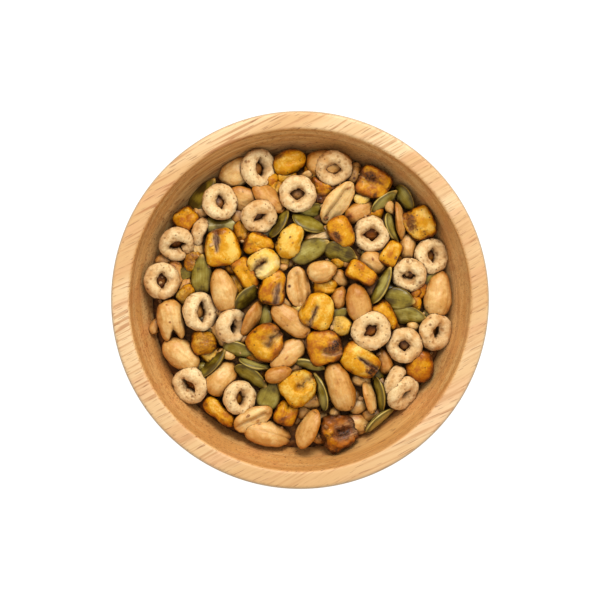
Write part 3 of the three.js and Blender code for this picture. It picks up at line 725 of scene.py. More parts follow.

# %% Scorch marks
# x, y, length, width, turn, how dark: each lies on the topmost piece there
MARKS = [
    (25.4, 44.4, 7.0, 4.2, -35, 0.85),
    (28.8, 42.2, 3.4, 1.6, -30, 0.60),
    (27.0, 37.6, 3.0, 1.6, 70, 0.80),
    (39.8, 28.3, 10.0, 4.4, -75, 0.70),
    (13.4, 22.8, 6.0, 2.6, -60, 0.85),
    (6.4, 36.6, 6.0, 3.0, 10, 0.80),
    (26.2, 14.6, 1.2, 2.2, 20, 0.80),
    (11.8, 8.2, 1.0, 2.0, 20, 0.95),
    (17.4, 29.4, 4.4, 3.2, 40, 0.80),
    (17.6, 40.3, 2.4, 1.2, 20, 0.55),
    (-18.5, 49.8, 1.3, 1.2, 0, 0.70),
    (-29.4, 24.4, 5.0, 2.4, 0, 0.60),
    (-7.6, 51.6, 5.0, 2.4, 30, 0.60),
    (-47.9, -1.7, 0.9, 0.8, 0, 0.90),
    (-46.7, -8.0, 1.0, 0.9, 0, 0.90),
    (-3.6, 22.5, 1.0, 0.8, 60, 0.75),
    (-2.6, 20.5, 0.9, 0.7, 0, 0.70),
    (-7.0, 18.2, 0.9, 0.8, 0, 0.70),
    (-4.9, -20.9, 2.8, 0.8, 45, 0.70),
    (13.0, -16.4, 7.4, 4.4, 45, 1.00),
    (10.0, -17.6, 5.0, 1.8, 12, 0.80),
    (11.4, -11.8, 5.0, 1.6, -10, 0.45),
    (25.6, -25.8, 4.4, 4.0, -50, 1.00),
    (15.4, -47.6, 6.8, 5.4, 20, 1.00),
    (-33.9, -37.6, 2.6, 2.2, -40, 0.45),
    (-6.0, -42.8, 4.0, 1.8, 30, 0.60),
    (-15.2, -43.4, 1.6, 0.8, 30, 0.60),
    (18.8, -3.4, 7.0, 4.4, -70, 0.30),
    (-14.2, 13.6, 6.0, 3.6, 45, 0.40),
    (-34.4, -14.8, 11.0, 11.0, 0, 0.36),
    (14.6, 1.6, 3.0, 2.0, 60, 0.50),
    (20.4, -42.0, 6.0, 2.4, 0, 0.50),
    (13.2, -29.4, 3.6, 2.6, -60, 0.22),
    (-39.0, 14.8, 10.0, 10.0, 0, 0.46),
    (-41.2, 2.1, 8.0, 7.0, 50, 0.30),
    (13.2, -8.6, 8.0, 6.0, -50, 0.30),
    (14.4, -28.6, 1.2, 0.9, 0, 0.60),
    (13.0, -32.4, 1.0, 0.8, 0, 0.60),
    (16.4, -34.4, 0.9, 0.8, 0, 0.60),
]
print("placed by hand:", len(OAT_RINGS + CORN + WHOLE_PEANUTS + PEANUT_HALVES + PUMPKIN_SEEDS))


# %% [markdown]
# ### Numbers drawn from a seed
#
# Small tilts and the pieces at the bottom are drawn, not placed. The draws come from a tiny fixed
# generator instead of Python's own, so that the frame's heap and this one draw the same numbers.

# %% Draws
DRAW_FACTOR = 1664525
DRAW_STEP = 1013904223
DRAW_RANGE = 2 ** 32
draw_state = DRAW_SEED


def draw(low, high):
    """The next number of the fixed generator, between two others."""
    global draw_state
    draw_state = (draw_state * DRAW_FACTOR + DRAW_STEP) % DRAW_RANGE
    return low + ((high - low) * draw_state) / DRAW_RANGE


# %% The pieces from the tables
def piece(kind, x, y, length, width, thickness, turn, layer, **more):
    """One piece of food, before it has its height."""
    fields = dict(kind=kind, x=x, y=y, z=0.0, length=length, width=width, thickness=thickness,
                  shown=width, turn=math.radians(turn), layer=layer, roll=0.0, pitch=0.0, fine=True)
    return SimpleNamespace(**{**fields, **more})


def lying(item):
    """Tilts a piece a little, at random."""
    item.pitch = draw(-SMALL_TILT, SMALL_TILT)
    item.roll = draw(-SMALL_TILT, SMALL_TILT)
    return item


def rolled(item):
    """Rolls a flat piece about its length, one way or the other, until the given width shows."""
    side = -1 if draw(-1, 1) < 0 else 1
    item.pitch = draw(-SMALL_TILT, SMALL_TILT)
    share = (item.shown ** 2 - item.thickness ** 2) / (item.width ** 2 - item.thickness ** 2)
    item.roll = side * math.acos(math.sqrt(min(1.0, max(LEAST_SHARE, share))))
    return item


def placed_pieces():
    rings = [piece("ring", x, y, across, across, RING_THICKNESS, turn, layer, hole=hole,
                   roll=math.radians(roll), narrow=narrow, toast=toast, crack=crack)
             for x, y, across, hole, turn, roll, layer, narrow, toast, crack in OAT_RINGS]
    corn = [lying(piece("corn", x, y, length, width, min(CORN_THICKNESS, width), turn, layer,
                        toast=toast, crust=crust, germ=germ, groove=groove, spread=spread,
                        side=side, square=square))
            for (x, y, length, width, turn, layer, toast, crust, germ, groove, spread, side,
                 square) in CORN]
    peanuts = [lying(piece("peanut", x, y, length, width, PEANUT_ROUNDNESS * width, turn, layer,
                           toast=toast, split=split))
               for x, y, length, width, turn, layer, toast, split in WHOLE_PEANUTS]
    halves = [rolled(piece("half", x, y, length, HALF_WIDTH, HALF_THICKNESS, turn, layer,
                           shown=shown, face=face, toast=toast, lobe=lobe))
              for x, y, length, shown, turn, layer, face, toast, lobe in PEANUT_HALVES]
    seeds = [rolled(piece("seed", x, y, length, SEED_WIDTH, SEED_THICKNESS, turn, layer,
                          shown=shown, pale=pale))
             for x, y, length, shown, turn, layer, pale in PUMPKIN_SEEDS]
    return rings + corn + peanuts + halves + seeds


def covers(item, x, y):
    """Whether a piece lies over a point."""
    c, s = math.cos(item.turn), math.sin(item.turn)
    along = ((x - item.x) * c + (y - item.y) * s) / item.length
    across = ((y - item.y) * c - (x - item.x) * s) / item.shown
    return math.hypot(along, across) < 0.5


def fill_pieces(placed):
    """Pieces for the bare spots between the placed ones, on a spiral that spreads them evenly."""
    pieces = []
    for i in range(FILL_SPOTS):
        outward = FILL_RADIUS * math.sqrt((i + 0.5) / FILL_SPOTS)
        heading = i * math.pi * (3 - math.sqrt(5))
        x, y = outward * math.cos(heading), outward * math.sin(heading)
        length = draw(*FILL_LENGTH)
        turn = draw(0, 360)
        width = FILL_WIDTH * length
        item = lying(piece("fill", x, y, length, width, width, turn, 0))
        if not any(covers(other, x, y) for other in placed):
            pieces.append(item)
    return pieces


placed = placed_pieces()
filling = fill_pieces(placed)
print(len(placed), "pieces placed,", len(filling), "to fill between them")


# %% The drop rule
FIELD_REACH = math.ceil(RIM_INNER)


def heap_surface(x, y):
    """The height of the heap's surface over a point: a low dome."""
    outward = (x * x + y * y) / (RIM_INNER * RIM_INNER)
    return BOWL_HEIGHT - HEAP_CENTRE_DEPTH - (HEAP_EDGE_DEPTH - HEAP_CENTRE_DEPTH) * outward


heights = {(x, y): heap_surface(x, y) - BED_DEPTH
           for x in range(-FIELD_REACH, FIELD_REACH + 1)
           for y in range(-FIELD_REACH, FIELD_REACH + 1)}


def turn_matrix(item):
    return (Matrix.Rotation(item.turn, 3, "Z") @ Matrix.Rotation(item.pitch, 3, "Y")
            @ Matrix.Rotation(item.roll, 3, "X"))


def over_footprint(item, share):
    """For each height cell below the piece: the cell, and the ovoid's two surfaces there."""
    form = item.form
    reach = item.length / 2
    found = []
    for row in range(math.ceil(item.y - reach), math.floor(item.y + reach) + 1):
        for column in range(math.ceil(item.x - reach), math.floor(item.x + reach) + 1):
            dx, dy = (column - item.x) / share, (row - item.y) / share
            half = form[0][2] * dx + form[1][2] * dy
            rest = form[0][0] * dx * dx + 2 * form[0][1] * dx * dy + form[1][1] * dy * dy - 1
            inside = half * half - form[2][2] * rest
            if inside >= 0:
                root = math.sqrt(inside)
                found.append(((column, row), (-half - root) / form[2][2], (-half + root) / form[2][2]))
    return found


def settle(item, sink=SINK):
    """Moves a piece in from the wall until it fits, then lowers it on to what is there already."""
    turned = turn_matrix(item)
    squares = Matrix.Diagonal([4 / size ** 2 for size in (item.length, item.width, item.thickness)])
    item.form = turned @ squares @ turned.transposed()
    limit = hollow_radius(heap_surface(item.x, item.y) - WIDEST_DEPTH) - GAP
    outward = math.hypot(item.x, item.y)
    heading = math.atan2(item.y, item.x) - item.turn
    reach = math.hypot(math.cos(heading) * item.length, math.sin(heading) * item.shown) / 2
    if outward + reach > limit:
        item.x *= (limit - reach) / outward
        item.y *= (limit - reach) / outward
    resting = max(heights[cell] - under for cell, under, over in over_footprint(item, FOOTPRINT))
    whole = over_footprint(item, 1)
    top = max(over for cell, under, over in whole)
    highest = heap_surface(item.x, item.y) + LAYER_TOP[item.layer] - top
    item.z = min(resting - sink, highest)
    for cell, under, over in whole:
        heights[cell] = max(heights[cell], item.z + over)
    item.place = Matrix.Translation((item.x, item.y, item.z)) @ turned.to_4x4()


mix = sorted(filling + placed, key=lambda item: (item.layer, -item.length))
for item in mix:
    settle(item)
print("highest point of the heap:", round(max(heights.values()), 2), "mm of", BOWL_HEIGHT)


# %% [markdown]
# ### Pieces for the gaps
#
# The frame's heap stops at the pieces that matter for its form. A real mix has more in every gap:
# whole small pieces, chips and split halves. They are dropped after the others, on the same grid,
# and wedge in deeper. The pieces that the frame fills its bottom layer with get their kinds here, and
# under each ring that lies flat goes one more piece, because something always shows through a ring.

# %% Small pieces
# kind, x, y, length, width, turn, how toasted (or how pale, for a seed)
SMALL_PIECES = [
    ("corn", -4.8, 44.8, 7.0, 5.0, 10, 0.3),
    ("corn", 22.6, 36.9, 6.6, 5.6, 40, -0.5),
    ("corn", 41.4, -1.5, 6.0, 5.0, 80, 0.4),
    ("corn", -41.2, 2.1, 8.0, 6.0, 50, 0.2),
    ("corn", -10.5, 43.5, 6.5, 5.0, 60, 0.4),
    ("corn", 14.0, 13.9, 6.0, 5.0, 15, 0.5),
    ("corn", -24.3, 12.4, 6.0, 5.0, 70, 0.6),
    ("corn", 41.6, 2.6, 4.5, 3.5, 30, 0.9),
    ("peanut", 12.4, -40.6, 4.5, 4.0, 80, 0.4),
    ("peanut", 21.2, -28.8, 6.5, 4.8, -20, 0.1),
    ("peanut", -35.7, 31.6, 6.0, 5.0, 0, 0.4),
    ("peanut", 19.5, 45.0, 8.0, 6.0, 70, 0.5),
    ("peanut", 40.8, -9.6, 5.0, 4.0, 10, 0.2),
    ("peanut", -52.3, -9.5, 6.0, 4.0, 70, 0.4),
    ("peanut", 43.3, 12.6, 7.0, 6.0, 0, 0.3),
    ("peanut", -49.0, 14.4, 7.5, 5.0, 30, 0.4),
    ("peanut", -26.6, -3.5, 7.0, 5.0, 20, 0.6),
    ("peanut", 26.5, -2.4, 7.0, 5.0, 0, 0.5),
    ("half", 0.4, -40.8, 9.0, 3.0, 65, 0.3),
    ("half", 20.8, -36.2, 8.5, 3.0, 100, 0.2),
    ("half", 2.7, 45.3, 5.0, 3.2, 30, 0.0),
    ("half", 32.6, 33.5, 5.5, 3.6, -60, 0.1),
    ("half", -3.7, 13.9, 5.0, 3.5, 60, 0.3),
    ("half", -6.5, 11.7, 4.5, 3.2, 20, 0.3),
    ("half", 18.0, 14.0, 6.5, 4.0, 30, 0.6),
    ("half", -26.4, -19.6, 6.4, 3.6, -25, 0.0),
    ("half", 29.4, -31.0, 8.0, 4.0, -70, 0.4),
    ("half", -20.9, -14.5, 6.0, 4.0, 30, 0.5),
    ("half", 14.3, 39.5, 6.0, 4.0, 80, 0.5),
    ("seed", 46.9, 8.4, 8.0, 5.0, 60, 0.2),
    ("seed", -41.2, 9.5, 8.0, 5.0, 40, 0.1),
    ("seed", 13.6, -5.3, 8.0, 5.0, 30, 0.5),
    ("seed", 26.0, 17.2, 8.5, 5.0, 10, 0.2),
    ("seed", -12.0, 24.0, 8.0, 5.0, 60, 0.1),
    ("seed", -33.4, -9.6, 8.5, 5.0, -40, 0.2),
    ("seed", 46.4, -6.2, 8.0, 5.0, 100, 0.3),
]
THICKNESS_OF = {"corn": 0.75, "peanut": 0.9, "half": 0.6, "seed": 0.34}     # shares of the width
SMALL_SINK = 3.2
UNDER_RING = 3.4            # from a ring's middle down to the middle of the piece below it
UNDER_SIZE = (8.4, 7.0, 5.0)
UNDER_ROLL = math.radians(40)       # a ring that leans more than this has nothing below it
UNDER_KINDS = ("corn", "peanut", "half")
UNDER_TONE = 0.8
UNDER_TONE_SPAN = 0.4
UNDER_TONE_STEP = 0.29
FILL_KINDS = ("corn", "peanut", "half", "corn", "peanut", "seed", "half")
FILL_TONE_STEP = 0.37
PALE_CHIP = 14              # one of the fill pieces is a chip of a peanut half instead
PLAIN = dict(germ=0.0, groove=0.1, spread=0.12, side=0.0, split=0.0, face=-1, lobe=0, square=2.7,
             fine=False)


def plain_looks(item, tone):
    """Looks for a piece that isn't in a hand-made table."""
    vars(item).update(PLAIN, toast=tone, pale=tone, crust=0.15 + 0.4 * tone)


def small_piece(kind, x, y, length, width, turn, tone):
    item = lying(piece(kind, x, y, length, width, THICKNESS_OF[kind] * width, turn, 1))
    plain_looks(item, tone)
    settle(item, SMALL_SINK)
    return item


small = [small_piece(*row) for row in SMALL_PIECES]
for number, item in enumerate(filling):
    item.kind = "half" if number == PALE_CHIP else FILL_KINDS[number % len(FILL_KINDS)]
    plain_looks(item, (number * FILL_TONE_STEP) % 1)

under = []
for number, ring in enumerate(item for item in mix if item.kind == "ring"):
    if ring.roll < UNDER_ROLL:
        below = piece(UNDER_KINDS[number % len(UNDER_KINDS)], ring.x, ring.y, *UNDER_SIZE, 0, 0)
        plain_looks(below, UNDER_TONE + UNDER_TONE_SPAN * ((number * UNDER_TONE_STEP) % 1))
        below.place = ring.place @ Matrix.Translation((0, 0, -UNDER_RING))
        under.append(below)
mix = mix + small + under
for item in mix:
    item.marks = []
for mark in MARKS:
    above = [item for item in mix if covers(item, mark[0], mark[1])]
    if above:
        max(above, key=lambda item: (item.layer, item.z)).marks.append(mark)
print(len(small), "small pieces and", len(under), "under rings make", len(mix), "in all")


# %% [markdown]
# ## Making many pieces of one kind
#
# Every piece of a kind starts from the same closed mesh, a ball or a ring, and a function moves each
# of its points. The function has the piece's own sizes, and a smooth noise whose seed is the piece's
# number, so no two come out alike. The moved copies are joined into one mesh for the kind. What the
# material needs to know, such as where the crust or the germ is, goes with each point as a value.
# A piece deep in a gap starts from a mesh with a quarter of the faces, as little of it shows.

# %% Helpers for shaping
MARK_EDGE = (0.2, 1.35)     # where a mark begins to fade, and where it ends, in shares of its size
MARK_RAGGED = 0.5
MARK_RAGGED_SIZE = 0.9
RAGGED_FROM = 3.0           # a mark narrower than this has a smoother edge
STREAK_SHIFT = 41.0         # sets the streaks of one piece apart from the next one's
NOISE_START = (1.7, 0.0, 11.9)      # where the first piece reads its noise
NOISE_STRIDE = (7.3, 3.1, 0.0)      # and how far on the next one does


def step(value, low, high):
    """0 below low, 1 above high, and a smooth rise between."""
    t = min(1.0, max(0.0, (value - low) / (high - low)))
    return t * t * (3 - 2 * t)


def hill(value, width):
    """1 at 0, falling smoothly to nothing within a few widths."""
    return math.exp(-(value / width) ** 2)


def lumps(point, seed, size, height):
    """A smooth random height at a point, with lumps of a given size."""
    return height * noise.noise(point / size + seed)


def rough(point, seed, layers):
    """The height of several layers of lumps at a point: each layer has a size and a height."""
    return sum(lumps(point, seed, size, height) for size, height in layers)


def streak_height(moved, seed, length, width):
    """A smooth random height in streaks along a piece."""
    return noise.noise(Vector((moved.x / length, moved.y / width, 0)) + seed)


def flank(point):
    """0 on top of a piece and 1 round its sides and below, where foods are browner: partly toasting,
    partly painted shade.
    """
    return 1 - step(point.z, 0.0, 0.85)


def squarer(point, power):
    """Pushes a point on a ball out towards a box: a power of 2 leaves the ball as it is."""
    size = abs(point.x) ** power + abs(point.y) ** power + abs(point.z) ** power
    return point / size ** (1 / power)


def mark_share(item, place):
    """How far a point of a piece is inside a scorch mark."""
    share = 0.0
    for x, y, length, width, turn, dark in item.marks:
        c, s = math.cos(math.radians(turn)), math.sin(math.radians(turn))
        along, across = (place.x - x) * c + (place.y - y) * s, (place.y - y) * c - (place.x - x) * s
        away = math.hypot(2 * along / length, 2 * across / width)
        away += (MARK_RAGGED * noise.noise(place / MARK_RAGGED_SIZE)
                 * min(1.0, width / RAGGED_FROM))
        share = max(share, dark * (1 - step(away, *MARK_EDGE)))
    return share


def ball(subdivisions):
    bm = bmesh.new()
    bmesh.ops.create_icosphere(bm, subdivisions=subdivisions, radius=1.0)
    return bm


foods = []


def joined_pieces(name, items, fine, coarse, shape, values, material):
    """Copies of a template, each moved by shape, as one mesh with the values that shape returns."""
    whole = bmesh.new()
    values = (*values, "mark", "along", "across")
    columns = {value: [] for value in values}
    for number, item in enumerate(items):
        one = (fine if item.fine else coarse).copy()
        seed = Vector([start + number * stride for start, stride in zip(NOISE_START, NOISE_STRIDE)])
        for vert in one.verts:
            point, found = shape(item, vert.co.copy(), seed)
            vert.co = item.place @ point
            found["mark"] = mark_share(item, vert.co)
            found["along"], found["across"] = point.x + STREAK_SHIFT * number, point.y
            for value in values:
                columns[value].append(found[value])
        one.normal_update()
        scrap = bpy.data.meshes.new("scrap")
        one.to_mesh(scrap)
        one.free()
        whole.from_mesh(scrap)
        bpy.data.meshes.remove(scrap)
    fine.free()
    coarse.free()
    made = finish_mesh(whole, name, material, "trail_mix")
    foods.append(made)
    for value in values:
        give_points(made, value, columns[value])


def of_kind(kind):
    return [item for item in mix if item.kind == kind]


print("shaping helpers are ready for", len(mix), "pieces")


# %% [markdown]
# ## Oat rings
#
# A toasted oat ring is a puffed loop of dough. Its tube is thick, its hole is small and pinched into
# a slit or a diamond, and its skin is dry, cream to tan, with brown flecks. A circle spun round an
# axis gives an even ring, and moving its points gives the pinched hole and the uneven tube.

# %% The ring's shape
TUBE_STEPS = 36
RING_STEPS = 80
COARSE_RING = (8, 16)
HOLE_CORNERS = 1.3          # 1 is a diamond, 2 is an oval
HOLE_STRETCH = 1.3
UNEVEN_OUTSIDE = (0.9, 0.05)        # the size and the height of the lumps
UNEVEN_HOLE = (0.6, 0.2)
UNEVEN_HEIGHT = (0.8, 0.14)
RING_LUMPS = ((3.2, 0.32), (1.5, 0.19), (0.75, 0.09))
PIT_SIZE = 1.25
PIT_DEPTH = 0.24
CRACK_DEPTH = 1.1
CRACK_WIDTH = 0.42
CRACK_WANDER = 0.5


def ring_template(tube_steps, ring_steps):
    """A ring with a tube of radius 1 round a circle of radius 2."""
    bm = bmesh.new()
    made = bmesh.ops.create_circle(bm, segments=tube_steps, radius=1.0)
    bmesh.ops.rotate(bm, verts=made["verts"], matrix=Matrix.Rotation(math.pi / 2, 3, "X"))
    bmesh.ops.translate(bm, verts=made["verts"], vec=(2, 0, 0))
    bmesh.ops.spin(bm, geom=bm.verts[:] + bm.edges[:], cent=(0, 0, 0), axis=(0, 0, 1),
                   angle=math.tau, steps=ring_steps, use_merge=True)
    bmesh.ops.remove_doubles(bm, verts=bm.verts, dist=1e-5)
    bmesh.ops.recalc_face_normals(bm, faces=bm.faces)
    return bm


def ring_shape(item, point, seed):
    heading = math.atan2(point.y, point.x)
    c, s = math.cos(heading), math.sin(heading)
    outward = math.hypot(point.x, point.y) - 2
    spot = Vector((c, s, 0))
    outer = item.length / 2 * (1 + lumps(spot, seed, *UNEVEN_OUTSIDE))
    half_long, half_short = item.hole / 2 * HOLE_STRETCH, item.hole / 2 * item.narrow
    inner = ((abs(c) / half_long) ** HOLE_CORNERS
             + (abs(s) / half_short) ** HOLE_CORNERS) ** (-1 / HOLE_CORNERS)
    inner *= 1 + lumps(spot, seed + Vector((5, 0, 0)), *UNEVEN_HOLE)
    middle, half = (outer + inner) / 2, (outer - inner) / 2
    height = item.thickness / 2 * (1 + lumps(spot, seed + Vector((0, 9, 0)), *UNEVEN_HEIGHT))
    out = Vector((outward * c * half, outward * s * half, point.z * height))
    moved = Vector((middle * c, middle * s, 0)) + out
    push = rough(moved, seed, RING_LUMPS)
    pit = step(noise.noise(moved / PIT_SIZE + seed * 3), 0.34, 0.5)
    push -= PIT_DEPTH * pit
    if item.crack is not None:
        turn = math.remainder(heading - math.radians(item.crack), math.tau)
        push -= CRACK_DEPTH * hill(turn * middle + CRACK_WANDER * noise.noise(moved / 1.5),
                                   CRACK_WIDTH)
    moved += out.normalized() * push
    # browner on the outer, lower side of the tube: partly toasting, partly painted shade
    brown = item.toast + 0.4 * step(outward, 0.35, 1.0) * step(-point.z, -0.75, 0.0)
    return moved, {"toast": brown, "hollow": step(-outward, 0.25, 0.95), "pit": pit,
                   "raised": step(push, -0.15, 0.35)}


# %% The rings' material
def oat_material():
    material, tree, shader, place = new_material("toasted_oat", {"Roughness": 0.7})
    clouds = use_group(tree, MOTTLE, Place=place, Size=0.0038, Low=0.4, High=0.66)
    grain = use_group(tree, MOTTLE, Place=place, Size=0.0007, Low=0.35, High=0.65)
    toast = maths(tree, "ADD", times(tree, reading(tree, "toast"), 0.72),
                  maths(tree, "MULTIPLY_ADD", clouds, 0.55, -0.06), clamp=True)
    baked = blend(tree, toast, screen(234, 212, 165), screen(202, 155, 94))
    # lighter on the raised lumps, and further down darker in the pits
    lighter_on_lumps = stained(tree, baked, "raised", 0.5, screen(241, 225, 183))
    grained = blend(tree, times(tree, grain, 0.4), lighter_on_lumps, screen(192, 151, 96))
    # painted shade: the inner side of the tube, round the hole, is darker
    hollow = stained(tree, grained, "hollow", 0.35, screen(165, 119, 67))
    pitted = stained(tree, hollow, "pit", 0.5, screen(157, 107, 55))
    flecks = use_group(tree, FLECKS, Place=place, Spacing=0.0014, Width=0.00042, Share=0.32)
    dots = use_group(tree, FLECKS, Place=place, Spacing=0.0033, Width=0.0008, Share=0.35)
    marks = maths(tree, "MAXIMUM", times(tree, flecks, 0.65), times(tree, dots, 0.75))
    colour = blend(tree, marks, pitted, screen(125, 78, 37))
    paint(tree, place, colour, screen(178, 124, 66), screen(120, 76, 38), shader)
    relief = use_group(tree, RELIEF, Place=place, Size=0.001)
    bump(tree, maths(tree, "SUBTRACT", relief, times(tree, marks, 0.6)), 0.3, shader)
    return material


joined_pieces("oat_rings", of_kind("ring"), ring_template(TUBE_STEPS, RING_STEPS),
              ring_template(*COARSE_RING), ring_shape, ("toast", "hollow", "pit", "raised"),
              oat_material())


# %% [markdown]
# ## Toasted corn
#
# A toasted kernel is blocky, wider at its crown than at its tip, and its skin is glossy, lumpy and
# bright yellow to orange. The germ side has a groove with two swollen lips, and the dried germ shows
# in it purple-grey. Crust forms in dark brown patches on the high parts.

# %% The kernel's shape
CORN_TAPER = 0.16
CORN_WAIST = 0.24           # how far a long kernel is pinched at its middle
FULL_WIDTH = 8.0            # a kernel narrower than this has lower lumps
CORN_LUMPS = ((5.6, 0.62), (2.6, 0.28))
NOTCH_SIZE = 1.9
NOTCH_DEPTH = 1.2
CRUST_RAGGED = 0.42
GERM_STREAKS = (3.0, 0.8)   # the length and the width of the ridges on the germ
GERM_RIDGES = 0.35


def corn_shape(item, point, seed):
    square = squarer(point, item.square)
    waist = CORN_WAIST * step(item.length / item.width, 1.7, 2.0) * hill(square.x, 0.4)
    narrowing = (1 - CORN_TAPER * square.x) * (1 - waist)
    moved = Vector((square.x * item.length / 2, square.y * narrowing * item.width / 2,
                    square.z * item.thickness / 2))
    ragged = noise.noise(moved / 0.9 + seed * 2)
    across = moved.y / item.width - item.side + 0.09 * noise.noise(moved / 2.6 + seed)
    runs = step(math.copysign(1, item.germ) * square.x, -0.5, 0.0) * step(square.z, 0.0, 0.6)
    bed = hill(across + 0.05 * ragged, item.spread) * runs
    slit = hill(across + 0.04 * ragged, 0.3 * item.spread) * runs
    lips = hill(abs(across) - 1.7 * item.spread, 0.1) * runs
    moved.z += item.groove * (0.3 * lips - 0.6 * bed - 0.6 * slit)
    outward = max(abs(square.x), abs(square.y))
    sides = max(1 - step(square.z, 0.15, 0.98), step(outward, 0.78, 1.0))
    patch = (noise.noise(moved / 4.0 + seed * 1.7) + 0.5 * noise.noise(moved / 1.2 + seed)
             + 0.7 * sides)
    crust = step(patch, 0.82 - 0.9 * item.crust, 1.4 - 0.9 * item.crust)
    small = min(1.0, item.width / FULL_WIDTH)
    notches = NOTCH_DEPTH * item.crust ** 3 * small
    push = (small * rough(moved, seed, CORN_LUMPS) + lumps(moved, seed * 1.9, NOTCH_SIZE, notches)
            + lumps(moved, seed, 1.0, 0.1) + CRUST_RAGGED * small ** 2 * ragged * crust
            + GERM_RIDGES * streak_height(moved, seed, *GERM_STREAKS) * bed)
    moved += point.normalized() * push
    strength = abs(item.germ)
    patchy = (0.5 * noise.noise(moved / 5 + seed)
              + noise.noise(moved / 2.2 + seed * 1.3) * (0.35 + 0.35 * sides))
    # browner round the sides: partly toasting, partly painted shade
    side_toast_and_shade = (0.45 + 0.5 * max(0, item.toast)) * sides
    return moved, {"toast": item.toast - 0.2 + side_toast_and_shade + patchy + 0.3 * strength * lips,
                   "crust": crust, "germ": strength * bed, "slit": min(1.0, 1.4 * strength) * slit}


# %% The corn's material
def corn_material():
    material, tree, shader, place = new_material("toasted_corn", {
        "Roughness": 0.42, "Specular IOR Level": 0.24, "Coat Weight": 0.16, "Coat Roughness": 0.2,
        "Subsurface Weight": 0.1, "Subsurface Radius": (0.0012, 0.0006, 0.0002)})
    clouds = use_group(tree, MOTTLE, Place=place, Size=0.0055, Low=0.34, High=0.7)
    fine = use_group(tree, MOTTLE, Place=place, Size=0.0008, Low=0.35, High=0.65)
    mottled = maths(tree, "MULTIPLY_ADD", clouds, 0.3, reading(tree, "toast"))
    warm = maths(tree, "MULTIPLY_ADD", fine, 0.26, maths(tree, "SUBTRACT", mottled, 0.21))
    pale = blend(tree, ramp(tree, warm, -0.9, -0.25), screen(230, 206, 142), screen(222, 184, 90))
    yellow = blend(tree, ramp(tree, warm, -0.2, 0.3), pale, screen(204, 147, 8))
    orange = blend(tree, ramp(tree, warm, 0.25, 0.9), yellow, screen(170, 101, 9))
    brown = blend(tree, ramp(tree, warm, 0.8, 1.5), orange, screen(118, 67, 17))
    crust = maths(tree, "MULTIPLY", reading(tree, "crust"),
                  maths(tree, "MULTIPLY_ADD", fine, 0.6, 0.45), clamp=True)
    crusted = blend(tree, crust, brown, screen(80, 42, 12))
    streaks = use_group(tree, STREAKS, Length=3.0, Width=0.6, Low=0.32, High=0.68)
    husk = blend(tree, streaks, screen(96, 65, 44), screen(172, 136, 100))
    germ = blend(tree, ramp(tree, reading(tree, "germ"), 0.1, 0.95), crusted, husk)
    slit = ramp(tree, reading(tree, "slit"), 0.3, 1.0, 0.0, 0.5)
    opened = blend(tree, slit, germ, screen(72, 43, 24))
    flecks = use_group(tree, FLECKS, Place=place, Spacing=0.0015, Width=0.0004, Share=0.24)
    colour = blend(tree, times(tree, flecks, 0.75), opened, screen(66, 33, 8))
    glints = use_group(tree, FLECKS, Place=place, Spacing=0.0009, Width=0.00035, Share=0.45)
    burnt = blend(tree, times(tree, glints, 0.4), screen(48, 26, 11), screen(152, 108, 58))
    paint(tree, place, colour, screen(124, 70, 24), burnt, shader)
    roughen(tree, place, 0.9, 0.3, shader)
    return material


joined_pieces("toasted_corn", of_kind("corn"), ball(5), ball(4), corn_shape,
              ("toast", "crust", "germ", "slit"), corn_material())


# %% [markdown]
# ## Peanuts
#
# A roasted peanut without its skin is a smooth ovoid, a little pointed where the germ sits, with a
# faint seam between its two halves. Some have begun to split at one end. Loose halves lie among them:
# round on the back, and flat on the face with a shallow furrow and the small germ at one end.

# %% The peanut shapes
PEANUT_TAPER = 0.12
BLUNTNESS = 2.25            # 2 is an egg, and more is nearer a box
PEANUT_LUMPS = ((6.0, 0.5), (2.4, 0.2))
SEAM_DEPTH = 0.1
GAPE_DEPTH = 2.6            # how deep the split of an opened peanut is
SPLIT_BACK = 3.2            # how far the opened end is cut back between its two halves
PEANUT_STREAKS = (5.0, 1.1)
HALF_FACE = 0.35            # how much of its thickness lies on a half's flat side
HALF_TAPER = 0.08
HALF_LUMPS = ((5.0, 0.5), (2.0, 0.12))
FURROW_WIDTH = 0.62


def peanut_shape(item, point, seed):
    blunt = squarer(point, BLUNTNESS)
    narrowing = 1 - PEANUT_TAPER * blunt.x
    moved = Vector((blunt.x * item.length / 2, blunt.y * narrowing * item.width / 2,
                    blunt.z * narrowing * item.thickness / 2))
    lean = 0.0 if item.split else 0.9 + 0.6 * noise.noise(seed * 2.1)
    off_seam = moved.y * math.cos(lean) + moved.z * math.sin(lean)
    facing = step(point.z, -0.3, 0.3)
    seam = hill(off_seam, 0.3) * facing
    opening = item.split * step(point.x, 0.0, 1.0)
    gape = hill(off_seam, 0.35 + 0.75 * opening) * facing * opening
    out = point.normalized()
    moved -= out * (SEAM_DEPTH * seam + GAPE_DEPTH * gape)
    moved.x -= SPLIT_BACK * item.split * step(point.x, 0.45, 1.0) * hill(off_seam, 0.85)
    moved.y += math.copysign(0.7 * opening, moved.y) * step(abs(moved.y), 0.0, 1.2)
    moved.x += 0.35 * hill(1 - point.x, 0.05) * (1 - item.split)
    moved += out * (rough(moved, seed, PEANUT_LUMPS)
                    + 0.16 * streak_height(moved, seed, *PEANUT_STREAKS))
    # the toast rises round the sides and below: partly toasting, partly painted shade
    return moved, {"toast": item.toast + 0.75 * flank(point) + 0.22 * noise.noise(moved / 5 + seed),
                   "seam": max(0.3 * seam, gape), "tip": hill(1 - point.x, 0.16)}


